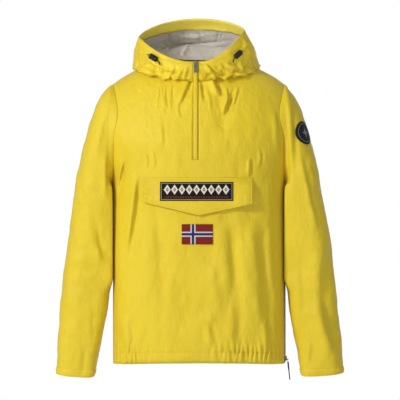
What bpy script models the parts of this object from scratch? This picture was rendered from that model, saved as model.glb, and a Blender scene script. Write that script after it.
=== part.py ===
"""Hooded pull-on anorak with a half zip, filled out as if worn.

The cloth is one hollow form: a front and a back joined at the sides and shoulders, two sleeves set
into the armholes, and a three-piece hood with a mesh lining, lying half open on the shoulders.
Metres, +Z up, front towards -Y, the wearer's left at +X. The origin is midway between the shoulders,
where the wearer holds the garment up.
"""

import math

import bmesh
import bpy
import numpy as np
from mathutils import Matrix, Vector

# Driving dimensions
CLOTH = 0.0015  # wall of the shell cloth
LINING = 0.0012  # wall of the hood's mesh lining
SEAM = 0.0005  # space between two pieces at a seam
LIFT = 0.0006  # space under a piece that lies on another
NECK_LIFT = 0.0020  # the hood springs from the neckline this much higher, clear of the shoulders
CENTRE_X = -0.0013  # middle of the body
ZIP_X = -0.0085  # middle of the half zip
ZIP_HALF_WIDTH = 0.0060
ZIP_BOTTOM_Z = -0.2160
HEM_Z = -0.7010
HEM_ARCH = 0.0060  # how much higher the hem is at the centre than at the sides
CHANNEL_HEIGHT = 0.0270  # drawcord channel along the hem
ARMPIT_Z = -0.2750
SHOULDER_X = 0.2050  # shoulder point, from the middle
NECK_X = 0.0880  # neck point, from the middle
NECK_Z = 0.0300
NECK_FRONT_Z = -0.0300
NECK_BACK_Z = 0.0220
CAP_START_Z = -0.2000  # the chest starts to round back towards the shoulders here
BODY_SQUARENESS = 2.4
FRONT_CAP = 1.8
BACK_CAP = 2.2
NECK_SHARE = 0.45  # share of a half panel's top edge that lies on the neckline

FRONT, BACK = -1.0, 1.0
RIGHT, LEFT = -1.0, 1.0  # the wearer's sides


def table(columns, *rows):
    """Named columns from rows of numbers."""
    return dict(zip(columns.split(), np.array(rows, float).T))


BODY = table(
    "z half_width front back",
    (-0.7200, 0.2052, 0.1120, 0.1170),
    (-0.6740, 0.2058, 0.1180, 0.1220),
    (-0.6000, 0.2058, 0.1240, 0.1240),
    (-0.4500, 0.2058, 0.1290, 0.1240),
    (-0.3300, 0.2058, 0.1340, 0.1250),
    (-0.2750, 0.2070, 0.1360, 0.1270),
    (-0.2000, 0.2200, 0.1370, 0.1300),
    (-0.1200, 0.2350, 0.1370, 0.1310),
    (0.0600, 0.2400, 0.1370, 0.1310),
)
SHOULDER_LINE = table(
    "x z",
    (0.0000, 0.0500),
    (0.0880, 0.0300),
    (0.1550, 0.0000),
    (0.2050, -0.0320),
    (0.2300, -0.0640),
)
ARMHOLE = table(
    "height front back",
    (0.00, 0.2070, 0.2070),
    (0.10, 0.2038, 0.2050),
    (0.22, 0.2022, 0.2040),
    (0.45, 0.2018, 0.2030),
    (0.60, 0.1955, 0.1990),
    (0.72, 0.1920, 0.1970),
    (0.86, 0.1970, 0.1995),
    (1.00, 0.2050, 0.2050),
)
# Sleeve rings from the shoulder to the cuff: outer and inner point of each, depth either side of the
# middle, and how far the middle is forward
SLEEVE_RIGHT = table(
    "outer_x outer_z inner_x inner_z half_depth middle_y",
    (0.2150, -0.0380, 0.2082, -0.2790, 0.0740, 0.0000),
    (0.2320, -0.0570, 0.2088, -0.2850, 0.0760, 0.0000),
    (0.2462, -0.0830, 0.2092, -0.2940, 0.0770, 0.0000),
    (0.2620, -0.1290, 0.2093, -0.3080, 0.0770, 0.0000),
    (0.2840, -0.2200, 0.2093, -0.3360, 0.0765, 0.0010),
    (0.2995, -0.2950, 0.2093, -0.3750, 0.0750, 0.0030),
    (0.3155, -0.4200, 0.2094, -0.4550, 0.0710, 0.0060),
    (0.3316, -0.5620, 0.2165, -0.5560, 0.0610, 0.0000),
    (0.3395, -0.6700, 0.2368, -0.6650, 0.0490, -0.0120),
    (0.3402, -0.7235, 0.2492, -0.7290, 0.0420, -0.0180),
)
SLEEVE_LEFT = table(
    "outer_x outer_z inner_x inner_z half_depth middle_y",
    (0.2130, -0.0415, 0.2082, -0.2790, 0.0740, 0.0000),
    (0.2265, -0.0585, 0.2088, -0.2850, 0.0760, 0.0000),
    (0.2410, -0.0852, 0.2092, -0.2940, 0.0770, 0.0000),
    (0.2570, -0.1290, 0.2093, -0.3080, 0.0770, 0.0000),
    (0.2825, -0.2200, 0.2093, -0.3360, 0.0765, 0.0010),
    (0.2962, -0.2950, 0.2093, -0.3750, 0.0750, 0.0030),
    (0.3180, -0.4200, 0.2094, -0.4550, 0.0710, 0.0060),
    (0.3340, -0.5620, 0.2150, -0.5560, 0.0610, 0.0000),
    (0.3440, -0.6700, 0.2350, -0.6620, 0.0490, -0.0120),
    (0.3465, -0.7205, 0.2448, -0.7265, 0.0430, -0.0180),
)
SLEEVE_SQUARENESS = 0.86
CUFF_DIP = 0.0050  # the cuff's front edge hangs this much below its sides

# Hood loops from the neck seam to the rim. The front point is on the zip, the side points are as far
# out as the loop reaches, and dip lowers it halfway round to the front.
HOOD = table(
    "share front_y back_y right_x left_x front_z right_z left_z back_z dip",
    (0.21, -0.0940, 0.1250, 0.1280, 0.1270, -0.0210, 0.0265, 0.0275, -0.0120, 0.0080),
    (0.39, -0.0980, 0.2000, 0.1515, 0.1475, -0.0120, 0.0085, 0.0120, -0.0250, 0.0100),
    (0.55, -0.1010, 0.2060, 0.1530, 0.1430, -0.0030, 0.0310, 0.0320, 0.0230, 0.0080),
    (0.77, -0.1020, 0.1300, 0.1480, 0.1315, 0.0070, 0.0560, 0.0620, 0.0860, 0.0030),
    (1.00, -0.1000, 0.0720, 0.1375, 0.1110, 0.0170, 0.0800, 0.0960, 0.1305, 0.0000),
)
# The lining's own loops, which stay well inside the shell; back_y is largest in the pocket above the
# soft ledge that the lining makes where it sags
LINING_LOOPS = table(
    "share front_y back_y right_x left_x front_z right_z left_z back_z dip",
    (0.00, -0.0800, 0.0670, 0.0800, 0.0800, -0.0230, 0.0350, 0.0350, 0.0290, 0.0000),
    (0.22, -0.0830, 0.0900, 0.0990, 0.0900, -0.0130, 0.0410, 0.0430, 0.0400, 0.0000),
    (0.40, -0.0850, 0.1120, 0.1140, 0.1020, -0.0060, 0.0480, 0.0520, 0.0600, 0.0000),
    (0.55, -0.0860, 0.1320, 0.1240, 0.1100, -0.0010, 0.0530, 0.0590, 0.0660, 0.0000),
    (0.75, -0.0880, 0.1140, 0.1320, 0.1150, 0.0040, 0.0590, 0.0670, 0.0860, 0.0000),
)
RIM_FLATNESS = 1.2
FRONT_FULLNESS = 0.75
CROWN_SEAM = {RIGHT: 0.80, LEFT: 0.86}  # where the crown's seams lie, from the zip (0) to the back (1)
FACING_WIDTH = table("turn share", (0.0, 0.86), (0.5, 0.87), (1.0, 0.87))
LINING_INSET = CLOTH + 0.0007
HOOD_HEART = np.array([0.0, 0.04, 0.03])

# Soft folds: top and bottom of each, half its width, and its depth (a ridge where negative)
FRONT_FOLDS = table(
    "top_x top_z low_x low_z half_width depth",
    (-0.160, -0.362, -0.170, -0.630, 0.017, 0.0060),
    (-0.103, -0.330, -0.110, -0.630, 0.015, 0.0050),
    (-0.039, -0.430, -0.036, -0.650, 0.020, 0.0030),
    (0.066, -0.362, 0.080, -0.645, 0.019, 0.0065),
    (0.140, -0.395, 0.166, -0.665, 0.018, 0.0050),
    (-0.172, -0.205, -0.196, -0.330, 0.013, 0.0060),
    (0.046, -0.052, 0.056, -0.150, 0.013, 0.0060),
    (0.086, -0.040, 0.066, -0.130, 0.011, 0.0045),
    (0.112, -0.430, 0.118, -0.600, 0.016, -0.0030),
)
BACK_FOLDS = table(
    "top_x top_z low_x low_z half_width depth",
    (-0.150, -0.300, -0.160, -0.640, 0.018, 0.0060),
    (-0.075, -0.360, -0.070, -0.650, 0.018, 0.0050),
    (0.010, -0.300, 0.020, -0.640, 0.020, 0.0045),
    (0.085, -0.330, 0.095, -0.650, 0.017, 0.0060),
    (0.160, -0.290, 0.165, -0.620, 0.017, 0.0055),
    (-0.176, -0.180, -0.190, -0.330, 0.013, 0.0055),
    (0.178, -0.190, 0.190, -0.330, 0.013, 0.0055),
)
# Folds round each sleeve: height at the front, slant, half width and depth
SLEEVE_FOLDS = table(
    "turn height slant half_width depth",
    (0.30, -0.330, 0.060, 0.013, 0.0040),
    (0.35, -0.430, -0.050, 0.012, 0.0035),
    (0.25, -0.475, 0.045, 0.012, 0.0040),
    (0.75, -0.400, 0.050, 0.013, 0.0040),
    (0.70, -0.500, -0.045, 0.012, 0.0035),
    (0.30, -0.640, 0.050, 0.012, 0.0035),
)
# Where the drawcord gathers the hem: from, to and depth
PUCKERS = {
    FRONT: table("from_x to_x depth", (-0.192, -0.140, 0.0020), (0.015, 0.196, 0.0024)),
    BACK: table("from_x to_x depth", (-0.196, -0.090, 0.0022), (0.060, 0.196, 0.0024)),
}
PUCKER_HEIGHT = 0.070

FLAP = {  # pocket flap on the front, measured on the face of the garment
    "top_z": -0.2580, "top_right_x": -0.1395, "low_right_x": -0.1300, "left_x": 0.1250,
    "right_z": -0.3160, "left_z": -0.3190, "point_x": -0.0015, "point_z": -0.3460,
}
FLAP_STAND = 0.0032  # how far the flap's free edge stands off the front
FLAP_STAND_LEFT = 0.0060  # and how much more it stands off along its left side
LABEL = {"right_x": -0.0922, "left_x": 0.0797, "top_z": -0.2680, "low_z": -0.3118}
FLAG = {"right_x": -0.0413, "left_x": 0.0318, "top_z": -0.3668, "low_z": -0.4140}
BADGE_RADIUS = 0.0285
BADGE_TURN = 0.382
BADGE_REACH = 0.1300
TRIM = 0.0010  # wall of a badge, flag or label

ZIP_RAISE = 0.0008  # the covered zip stands this proud of the cloth
SIDE_ZIP_TOP_Z = -0.5000
SIDE_ZIP_HALF_WIDTH = 0.0055
SLIDER_WIDTH, SLIDER_LENGTH, SLIDER_HEIGHT = 0.0090, 0.0130, 0.0028
PIN_RADIUS = 0.0006
PIN_STANDS = 0.0022  # from the slider's face to the middle of its cross pin
PIN_DROP = 0.0030  # from the slider's middle down to the pin
CHEEK_APART = 0.0040
CHEEK_WIDTH = 0.0009
EYE_INNER, EYE_OUTER = 0.0010, 0.0018
TAB_WIDTH, TAB_THICKNESS = 0.0082, 0.0015
FRONT_TAB_REACH = 0.0165  # from the pin to the tab's end
SIDE_PULL_LINK, SIDE_PULL_REACH = 0.0230, 0.0490
SIDE_PULL_LEAN = 6.0  # degrees the side pull leans out over the slider's lower lip
FRONT_SLIDER_Z = 0.0095
SIDE_SLIDER_Z = -0.6890

LOCK_RADIUS, LOCK_LENGTH = 0.0054, 0.0180
LOCK_BORE = 0.0020
LOCK_HIGH = LOCK_RADIUS + 0.0003  # the bore's middle stands this far off the hood
CORD_EXIT = 0.0205  # from the lock's middle back to where the cord comes out of the hood
CORD_POINTS = 13
BUTTON_RADIUS, BUTTON_HEIGHT = 0.0036, 0.0075
CORD_RADIUS = 0.0014
LOCK_PLACES = {RIGHT: (0.215, 0.810), LEFT: (0.245, 0.800)}  # turn and share on the hood
LOCK_SWING = {RIGHT: 8.0, LEFT: 10.0}  # degrees each lock and its cord turn down from the rim's line

YELLOW = (0.78, 0.62, 0.045, 1.0)
GREY_MESH = (0.36, 0.35, 0.34, 1.0)
BLACK = (0.018, 0.017, 0.018, 1.0)
METAL = (0.42, 0.41, 0.39, 1.0)
FLAG_RED = (0.28, 0.03, 0.03, 1.0)


# Curves and blends

def ease(stations, values, at):
    """A smooth curve through the values at the stations, which never passes beyond them.

    Each span is a cubic whose end slopes are the harmonic mean of the rises on either side.
    """
    stations, values, at = (np.asarray(each, float) for each in (stations, values, at))
    at = np.clip(at, stations[0], stations[-1])
    wide = (slice(None),) + (None,) * (values.ndim - 1)
    steps = np.diff(stations)
    rises = np.diff(values, axis=0) / steps[wide]
    product = rises[:-1] * rises[1:]
    total = np.where(product > 0, rises[:-1] + rises[1:], 1.0)
    slopes = np.concatenate([rises[:1], np.where(product > 0, 2 * product / total, 0.0), rises[-1:]])
    span = np.clip(np.searchsorted(stations, at, side="right") - 1, 0, len(steps) - 1)
    across = at.shape + (1,) * (values.ndim - 1)
    t = ((at - stations[span]) / steps[span]).reshape(across)
    step = steps[span].reshape(across)
    return (
        (1 + 2 * t) * (1 - t) ** 2 * values[span]
        + t * (1 - t) ** 2 * step * slopes[span]
        + t ** 2 * (3 - 2 * t) * values[span + 1]
        + t ** 2 * (t - 1) * step * slopes[span + 1]
    )


def smooth(low, high, at):
    """0 below low, 1 above high, and an S between them."""
    t = np.clip((at - low) / (high - low), 0.0, 1.0)
    return t * t * (3 - 2 * t)


# The body

def shoulder_z(x):
    """Height of the shoulder line at x; inside the neck it runs on as a low dome."""
    return ease(SHOULDER_LINE["x"], SHOULDER_LINE["z"], np.abs(x - CENTRE_X))


def soft_folds(folds, x, z):
    """Depth of all the folds at a place: a soft trough along each line, fading at its ends."""
    depth = 0.0
    for top_x, top_z, low_x, low_z, half_width, deep in zip(*folds.values()):
        run_x, run_z = low_x - top_x, low_z - top_z
        length = math.hypot(run_x, run_z)
        along = ((x - top_x) * run_x + (z - top_z) * run_z) / length ** 2
        aside = ((x - top_x) * run_z - (z - top_z) * run_x) / length
        fade = smooth(-0.12, 0.22, along) * smooth(-0.12, 0.22, 1 - along)
        depth = depth + deep * fade * np.exp(-((aside / half_width) ** 2))
    return depth


def torso_y(x, z, face):
    """Depth of the front (face -1) or back (face +1) at x and z.

    Level sections are superellipses, and above the chest they close towards the shoulder line.
    """
    depth = ease(BODY["z"], BODY["front" if face == FRONT else "back"], z)
    width = ease(BODY["z"], BODY["half_width"], z)
    out = np.clip(np.abs(x - CENTRE_X) / width, 0.0, 1.0)
    across = (1 - out ** BODY_SQUARENESS) ** (1 / BODY_SQUARENESS)
    top = shoulder_z(x)
    climb = np.clip((z - CAP_START_Z) / (top - CAP_START_Z), 0.0, 1.0)
    power = FRONT_CAP if face == FRONT else BACK_CAP
    cap = (1 - climb ** power) ** (1 / power)
    ridge = ease([0.0, 0.09, 0.24], [0.012, 0.010, -0.002], np.abs(x - CENTRE_X))
    folds = soft_folds(FRONT_FOLDS if face == FRONT else BACK_FOLDS, x, z) * across * cap
    return ridge * climb ** 2 + face * (depth * across * cap - folds + SEAM / 2)


def hem_z(x):
    """Height of the hem, a shallow arch that is highest at the centre."""
    return HEM_Z + HEM_ARCH * (1 - (np.clip(np.abs(x - CENTRE_X) / 0.2058, 0, 1)) ** 2)


def pucker(x, z, face, column):
    """Gathers along the hem: every second column is drawn in, most at the channel's seam."""
    zones = PUCKERS[face]
    strength = 0.0
    for from_x, to_x, depth in zip(*zones.values()):
        low, high = from_x - 0.006, from_x + 0.010
        inside = smooth(low, high, x) * smooth(low, high, from_x + to_x - x)
        strength = strength + depth * inside
    rise = z - hem_z(x)
    wave = np.where(column % 2 == 0, 1.0, -1.0) * strength * smooth(0.0, PUCKER_HEIGHT, PUCKER_HEIGHT - rise)
    groove = 0.0016 * np.exp(-(((rise - CHANNEL_HEIGHT) / 0.006) ** 2))
    return (wave + groove) * smooth(0.0, 0.012, 0.2030 - np.abs(x - CENTRE_X))


def neck_point(side, turn, start_x):
    """Neckline from the zip or centre front (turn 0) past the neck point (0.5) to the centre back (1)."""
    angle = np.pi * turn
    x = CENTRE_X + side * NECK_X * np.sin(angle) + (start_x - CENTRE_X) * (1 + np.cos(angle)) / 2
    low = np.where(turn < 0.5, NECK_FRONT_Z, NECK_BACK_Z)
    z = low + (NECK_Z - low) * (1 - np.abs(np.cos(angle)))
    y = np.where(turn < 0.5, torso_y(x, z, FRONT), torso_y(x, z, BACK))
    return np.stack([x, y, z], -1)


def half_panel(side, face, across, up, start_x):
    """Half of the front or back: across runs from the centre (0) to the side (1), up from the hem (-1)
    past the armpit (0) to the shoulder and neckline (1)."""
    across, up = np.broadcast_arrays(across, up)
    low, high = np.minimum(up, 0.0), np.maximum(up, 0.0)
    spread = np.sin(np.pi / 2 * across) ** (2 / BODY_SQUARENESS)
    neck_turn = 0.5 * np.clip(across / NECK_SHARE, 0, 1)
    if face == BACK:
        neck_turn = 1 - neck_turn
    neck = neck_point(side, neck_turn, start_x if face == FRONT else CENTRE_X)
    past_neck = np.clip((across - NECK_SHARE) / (1 - NECK_SHARE), 0, 1)
    neck_end = np.abs(neck_point(side, np.array(0.5), start_x if face == FRONT else CENTRE_X)[0] - CENTRE_X)
    top_x = np.where(
        across < NECK_SHARE, neck[..., 0], CENTRE_X + side * (neck_end + (SHOULDER_X - neck_end) * past_neck)
    )
    top_z = np.where(across < NECK_SHARE, neck[..., 2], shoulder_z(top_x))
    edge = ease(ARMHOLE["height"], ARMHOLE["front" if face == FRONT else "back"], high)
    top_spread = (top_x - start_x) / (CENTRE_X + side * SHOULDER_X - start_x)
    blend = smooth(0.0, 1.0, high)
    share = spread * (1 - blend) + top_spread * blend
    upper_x = start_x + (CENTRE_X + side * edge - start_x) * share
    upper_z = ARMPIT_Z + high * (top_z - ARMPIT_Z)
    lower_z = ARMPIT_Z + low * (ARMPIT_Z - hem_z(upper_x))
    width = ease(BODY["z"], BODY["half_width"], lower_z)
    lower_x = start_x + (CENTRE_X + side * width - start_x) * spread
    x = np.where(up > 0, upper_x, lower_x)
    z = np.where(up > 0, upper_z, lower_z)
    return np.stack([x, torso_y(x, z, face), z], -1)


# The sleeves

def armhole(side, turn):
    """Armhole from the armpit (0) up the front to the shoulder (0.5) and down the back (1)."""
    height = (1 - np.cos(2 * np.pi * turn)) / 2
    across = np.ones_like(height)
    front = half_panel(side, FRONT, across, height, ZIP_X)
    back = half_panel(side, BACK, across, height, CENTRE_X)
    points = np.where((turn < 0.5)[..., None], front, back)
    return points + np.array([side * SEAM, 0.0, 0.0])


def sleeve_ring(side, ring, turn):
    """One ring of a sleeve: a superellipse from its inner point (turn 0) round by the front."""
    outer = np.array([CENTRE_X + side * ring["outer_x"], ring["outer_z"]])
    inner = np.array([CENTRE_X + side * ring["inner_x"], ring["inner_z"]])
    cosine, sine = np.cos(2 * np.pi * turn), np.sin(2 * np.pi * turn)
    along = np.sign(cosine) * np.abs(cosine) ** SLEEVE_SQUARENESS
    deep = np.sign(sine) * np.abs(sine) ** SLEEVE_SQUARENESS
    flat = (outer + inner) / 2 + (inner - outer) / 2 * along[..., None]
    dip = CUFF_DIP * np.clip(sine, 0, 1) * smooth(0.66, 0.73, -ring["outer_z"])
    return np.stack([flat[..., 0], ring["middle_y"] - ring["half_depth"] * deep, flat[..., 1] - dip], -1)


def sleeve_keys(side, turn):
    """The armhole and then every ring of the table, at the same turns."""
    rings = SLEEVE_RIGHT if side == RIGHT else SLEEVE_LEFT
    keys = [armhole(side, turn)]
    for values in zip(*rings.values()):
        keys.append(sleeve_ring(side, dict(zip(rings, values)), turn))
    return np.stack(keys)


def sleeve(side, turn, reach):
    """Sleeve surface: turn runs round it from the underarm seam, and reach from the armhole to the cuff."""
    middles = sleeve_keys(side, np.linspace(0, 1, 24, endpoint=False)).mean(axis=1)
    stations = np.concatenate([[0.0], np.cumsum(np.linalg.norm(np.diff(middles, axis=0), axis=1))])
    stations /= stations[-1]
    points = ease(stations, sleeve_keys(side, turn), reach)
    inward = ease(stations, middles, reach)[:, None] - points
    inward /= np.linalg.norm(inward, axis=-1, keepdims=True)
    depth = 0.0
    for at, height, slant, half_width, deep in zip(*SLEEVE_FOLDS.values()):
        round_way = (turn - at + 0.5) % 1.0 - 0.5
        aside = points[..., 2] - height - slant * round_way
        depth = depth + deep * np.exp(-((aside / half_width) ** 2) - (round_way / 0.16) ** 2)
    return points + inward * np.asarray(depth)[..., None]


# The hood

def hood_loop(side, row, turn):
    """One loop round the hood, from the zip (turn 0) to the centre back (1)."""
    angle = np.pi * turn
    cosine = np.cos(angle)
    start_x = ZIP_X + side * (ZIP_HALF_WIDTH + SEAM)
    reach = row["right_x"] if side == RIGHT else row["left_x"]
    x = side * reach * np.sin(angle) + CENTRE_X * (1 - cosine) / 2 + start_x * (1 + cosine) / 2
    swing = np.sign(cosine) * np.abs(cosine) ** np.where(cosine > 0, FRONT_FULLNESS, 1.0)
    y = (row["front_y"] + row["back_y"]) / 2 + (row["front_y"] - row["back_y"]) / 2 * swing
    to_front, to_back = np.clip(cosine, 0, 1) ** 2, np.clip(-cosine, 0, 1) ** RIM_FLATNESS
    side_z = row["right_z"] if side == RIGHT else row["left_z"]
    z = to_front * row["front_z"] + to_back * row["back_z"] + (1 - to_front - to_back) * side_z
    z = z - row["dip"] * np.clip(np.sin(2 * angle), 0, 1) ** 2
    return np.stack([x, y, z], -1)


def hood(side, turn, share):
    """Hood surface on one side: turn from the zip (0) to the back (1), share from neck seam to rim."""
    start_x = ZIP_X + side * (ZIP_HALF_WIDTH + SEAM)
    seam = neck_point(side, turn, start_x) + np.array([0.0, 0.0, SEAM + NECK_LIFT])
    keys = [seam] + [hood_loop(side, dict(zip(HOOD, values)), turn) for values in zip(*HOOD.values())]
    return ease(np.concatenate([[0.0], HOOD["share"]]), np.stack(keys), share)


def facing_share(turn):
    return ease(FACING_WIDTH["turn"], FACING_WIDTH["share"], turn)


# Meshes

def grid_faces(rows, columns, closed=False):
    """Quads of a grid of points; closed joins its last column to its first."""
    faces = []
    for row in range(rows - 1):
        for column in range(columns if closed else columns - 1):
            beside = (column + 1) % columns
            faces.append((
                row * columns + column, row * columns + beside,
                (row + 1) * columns + beside, (row + 1) * columns + column,
            ))
    return faces


def normals(points, closed=False):
    """Directions out of a grid of points, each as long as it must be for a wall of even thickness.

    Each is the mean of the unit normals of the quads round its point, over the square of that mean's length.
    """
    if closed:
        points = np.concatenate([points, points[:, :1]], axis=1)
    quads = np.cross(points[1:, 1:] - points[:-1, :-1], points[1:, :-1] - points[:-1, 1:])
    quads /= np.maximum(np.linalg.norm(quads, axis=-1, keepdims=True), 1e-12)
    total, count = np.zeros_like(points), np.zeros(points.shape[:2] + (1,))
    for down in (0, 1):
        for right in (0, 1):
            window = (slice(down, points.shape[0] - 1 + down), slice(right, points.shape[1] - 1 + right))
            total[window] += quads
            count[window] += 1
    if closed:
        total[:, 0] += total[:, -1]
        count[:, 0] += count[:, -1]
        total, count = total[:, :-1], count[:, :-1]
    mean = total / count
    return mean / np.maximum(np.sum(mean ** 2, axis=-1, keepdims=True), 0.3)


def outward(points, heart, closed=False):
    """Directions out of a grid that point away from the garment's heart, and whether its winding agrees."""
    found = normals(points, closed)
    agrees = float(np.sum(found * (points - heart))) > 0
    return (found if agrees else -found), agrees


def material(name, colour, roughness, metallic=0.0):
    found = bpy.data.materials.new(name)
    found.use_nodes = True
    shader = found.node_tree.nodes["Principled BSDF"]
    shader.inputs["Base Color"].default_value = colour
    shader.inputs["Roughness"].default_value = roughness
    shader.inputs["Metallic"].default_value = metallic
    found.diffuse_color = colour
    return found


def add_object(name, mesh, finish):
    thing = bpy.data.objects.new(name, mesh)
    bpy.data.collections["anorak"].objects.link(thing)
    mesh.materials.clear()
    mesh.materials.append(finish)
    return thing


def cloth(name, points, heart, finish, wall=CLOTH, closed=False, left_out=(), capped=False):
    """A sheet through a grid of points, given its wall inwards by Solidify.

    left_out lists the (row, column) quads that the sheet doesn't have; capped fills in its first row.
    """
    rows, columns = points.shape[:2]
    _, agrees = outward(points, heart, closed)
    faces = grid_faces(rows, columns, closed)
    across = columns if closed else columns - 1
    faces = [face for index, face in enumerate(faces) if divmod(index, across) not in left_out]
    if capped:
        faces.append(tuple(range(columns))[::-1])
    if not agrees:
        faces = [face[::-1] for face in faces]
    mesh = bpy.data.meshes.new(name)
    mesh.from_pydata(points.reshape(-1, 3).tolist(), [], faces)
    shape = bmesh.new()
    shape.from_mesh(mesh)
    bmesh.ops.delete(shape, geom=[v for v in shape.verts if not v.link_faces], context="VERTS")
    shape.to_mesh(mesh)
    shape.free()
    thing = add_object(name, mesh, finish)
    solid = thing.modifiers.new("wall", "SOLIDIFY")
    solid.thickness = wall
    solid.offset = -1.0
    solid.use_even_offset = True
    solid.use_quality_normals = True
    return thing


def on_front(x, z, lift):
    """Points of the front's face, moved out by lift."""
    return np.stack([x, torso_y(x, z, FRONT) - lift, z], -1)


# Panels

FRONT_ROWS = np.array([
    -1.0, -0.968, -0.936, -0.89, -0.84, -0.77, -0.68, -0.58, -0.48, -0.38, -0.28, -0.19, -0.10, 0.0,
    0.10, 0.24, 0.38, 0.52, 0.65, 0.77, 0.87, 0.94, 0.98, 0.997, 1.0,
])
BACK_ROWS = np.array([
    -1.0, -0.968, -0.936, -0.88, -0.80, -0.68, -0.54, -0.40, -0.26, -0.12, 0.0,
    0.14, 0.30, 0.46, 0.62, 0.76, 0.88, 0.95, 0.982, 0.997, 1.0,
])
ZIP_NECK_ROW = 0.8
ZIP_ROWS = np.concatenate([np.linspace(0, 0.8, 11), np.linspace(0.8, 1.0, 8)[1:]])
SLEEVE_HEART = np.array([0.245, 0.0, -0.15])
ZIP_ROW = 0.24  # the row of the front at the foot of the zip
FRONT_SPANS = {RIGHT: 22, LEFT: 26}
BACK_SPANS = {RIGHT: 18, LEFT: 18}


def panel_columns(spans):
    """Columns of a half panel, with one exactly at the neck point."""
    neck = round(spans * NECK_SHARE)
    inner, outer = np.linspace(0, NECK_SHARE, neck + 1), np.linspace(NECK_SHARE, 1, spans - neck + 1)
    return np.concatenate([inner, outer[1:]])


def panel(face):
    """Grid of the whole front or back, from the wearer's right side to the left."""
    rows = (FRONT_ROWS if face == FRONT else BACK_ROWS)[:, None]
    spans = FRONT_SPANS if face == FRONT else BACK_SPANS
    halves = {}
    for side in (RIGHT, LEFT):
        start_x = ZIP_X + side * (ZIP_HALF_WIDTH + SEAM) if face == FRONT else CENTRE_X
        halves[side] = half_panel(side, face, panel_columns(spans[side])[None, :], rows, start_x)
    first = halves[RIGHT][:, ::-1]
    points = np.concatenate([first, halves[LEFT] if face == FRONT else halves[LEFT][:, 1:]], axis=1)
    column = np.arange(points.shape[1])[None, :] * np.ones((points.shape[0], 1))
    points[..., 1] -= face * pucker(points[..., 0], points[..., 2], face, column)
    return points


def flap_points(across, down, raised=0.0):
    """Face of the flap: across from the wearer's right, down from the stitched edge."""
    u, v = np.meshgrid(across, down)
    right = FLAP["top_right_x"] + (FLAP["low_right_x"] - FLAP["top_right_x"]) * v
    x = right + (FLAP["left_x"] - right) * u
    low = np.interp(x, [FLAP["low_right_x"], FLAP["point_x"], FLAP["left_x"]],
                    [FLAP["right_z"], FLAP["point_z"], FLAP["left_z"]])
    z = FLAP["top_z"] + (low - FLAP["top_z"]) * v
    return on_front(x, z, flap_lift(x, v) + raised)


def flap_lift(x, down):
    """How far the flap's face is from the front's: it stands off towards its free edges."""
    at_left = FLAP_STAND_LEFT * smooth(0.075, 0.125, x) * smooth(0.05, 0.6, down)
    return CLOTH + LIFT + FLAP_STAND * smooth(0.0, 1.0, down) + at_left


def label_points(across, down):
    """Face of the label, which follows the flap."""
    u, v = np.meshgrid(across, down)
    x = LABEL["right_x"] + (LABEL["left_x"] - LABEL["right_x"]) * u
    z = LABEL["top_z"] + (LABEL["low_z"] - LABEL["top_z"]) * v
    low = np.interp(x, [FLAP["low_right_x"], FLAP["point_x"], FLAP["left_x"]],
                    [FLAP["right_z"], FLAP["point_z"], FLAP["left_z"]])
    return on_front(x, z, flap_lift(x, (z - FLAP["top_z"]) / (low - FLAP["top_z"])) + TRIM + LIFT)


def flag_points(across, down):
    u, v = np.meshgrid(across, down)
    x = FLAG["right_x"] + (FLAG["left_x"] - FLAG["right_x"]) * u
    z = FLAG["top_z"] + (FLAG["low_z"] - FLAG["top_z"]) * v
    return on_front(x, z, TRIM + LIFT)


def sleeve_at(side, turn, reach):
    """Sleeve surface at single places, a turn and a reach for each."""
    every = np.arange(len(turn))
    return sleeve(side, turn, reach)[every, every]


def badge_points(rings, spokes):
    """Rings of the round badge: places on the left sleeve whose offsets in the plane that touches it at the
    badge's middle make a disc. Each place is found by eight Newton steps."""
    ring, spoke = np.meshgrid(rings, spokes, indexing="ij")
    wanted = BADGE_RADIUS * np.stack([ring * np.cos(spoke), ring * np.sin(spoke)], -1).reshape(-1, 2)
    turn, reach = np.full(len(wanted), BADGE_TURN), np.full(len(wanted), BADGE_REACH)
    step = 1e-4

    def slopes():
        here = sleeve_at(LEFT, turn, reach)
        round_it, along_it = sleeve_at(LEFT, turn + step, reach), sleeve_at(LEFT, turn, reach + step)
        return here, (round_it - here) / step, (along_it - here) / step

    here, by_turn, by_reach = slopes()
    middle, out = here[0], np.cross(by_turn[0], by_reach[0])
    out /= np.linalg.norm(out)
    up = np.array([0.0, 0.0, 1.0]) - out[2] * out
    up /= np.linalg.norm(up)
    plane = np.stack([np.cross(up, out), up])
    for _ in range(8):
        here, by_turn, by_reach = slopes()
        grid = np.stack([by_turn @ plane.T, by_reach @ plane.T], -1)
        move = np.linalg.solve(grid, (wanted - (here - middle) @ plane.T)[..., None])[..., 0]
        turn, reach = turn + move[:, 0], reach + move[:, 1]
    points = sleeve_at(LEFT, turn, reach).reshape(*ring.shape, 3)
    found, _ = outward(points, SLEEVE_HEART, closed=True)
    return points + found * (TRIM + LIFT + 0.0002)


def zip_path(rows):
    """Line of the half zip from its foot (0) over the neckline (0.8) to the rim (1), without its width."""
    neck = ZIP_NECK_ROW
    z = ZIP_BOTTOM_Z + SEAM + (NECK_FRONT_Z - 0.001 - ZIP_BOTTOM_Z - SEAM) * np.clip(rows / neck, 0, 1)
    torso = np.stack([np.full_like(z, ZIP_X), torso_y(ZIP_X, z, FRONT), z], -1)
    share = 0.06 + 0.94 * np.clip((rows - neck) / (1 - neck), 0, 1)
    upper = hood(LEFT, np.array([0.0]), share)[:, 0]
    upper[:, 0] = ZIP_X
    return np.where((rows <= neck)[:, None], torso, upper)


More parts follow.
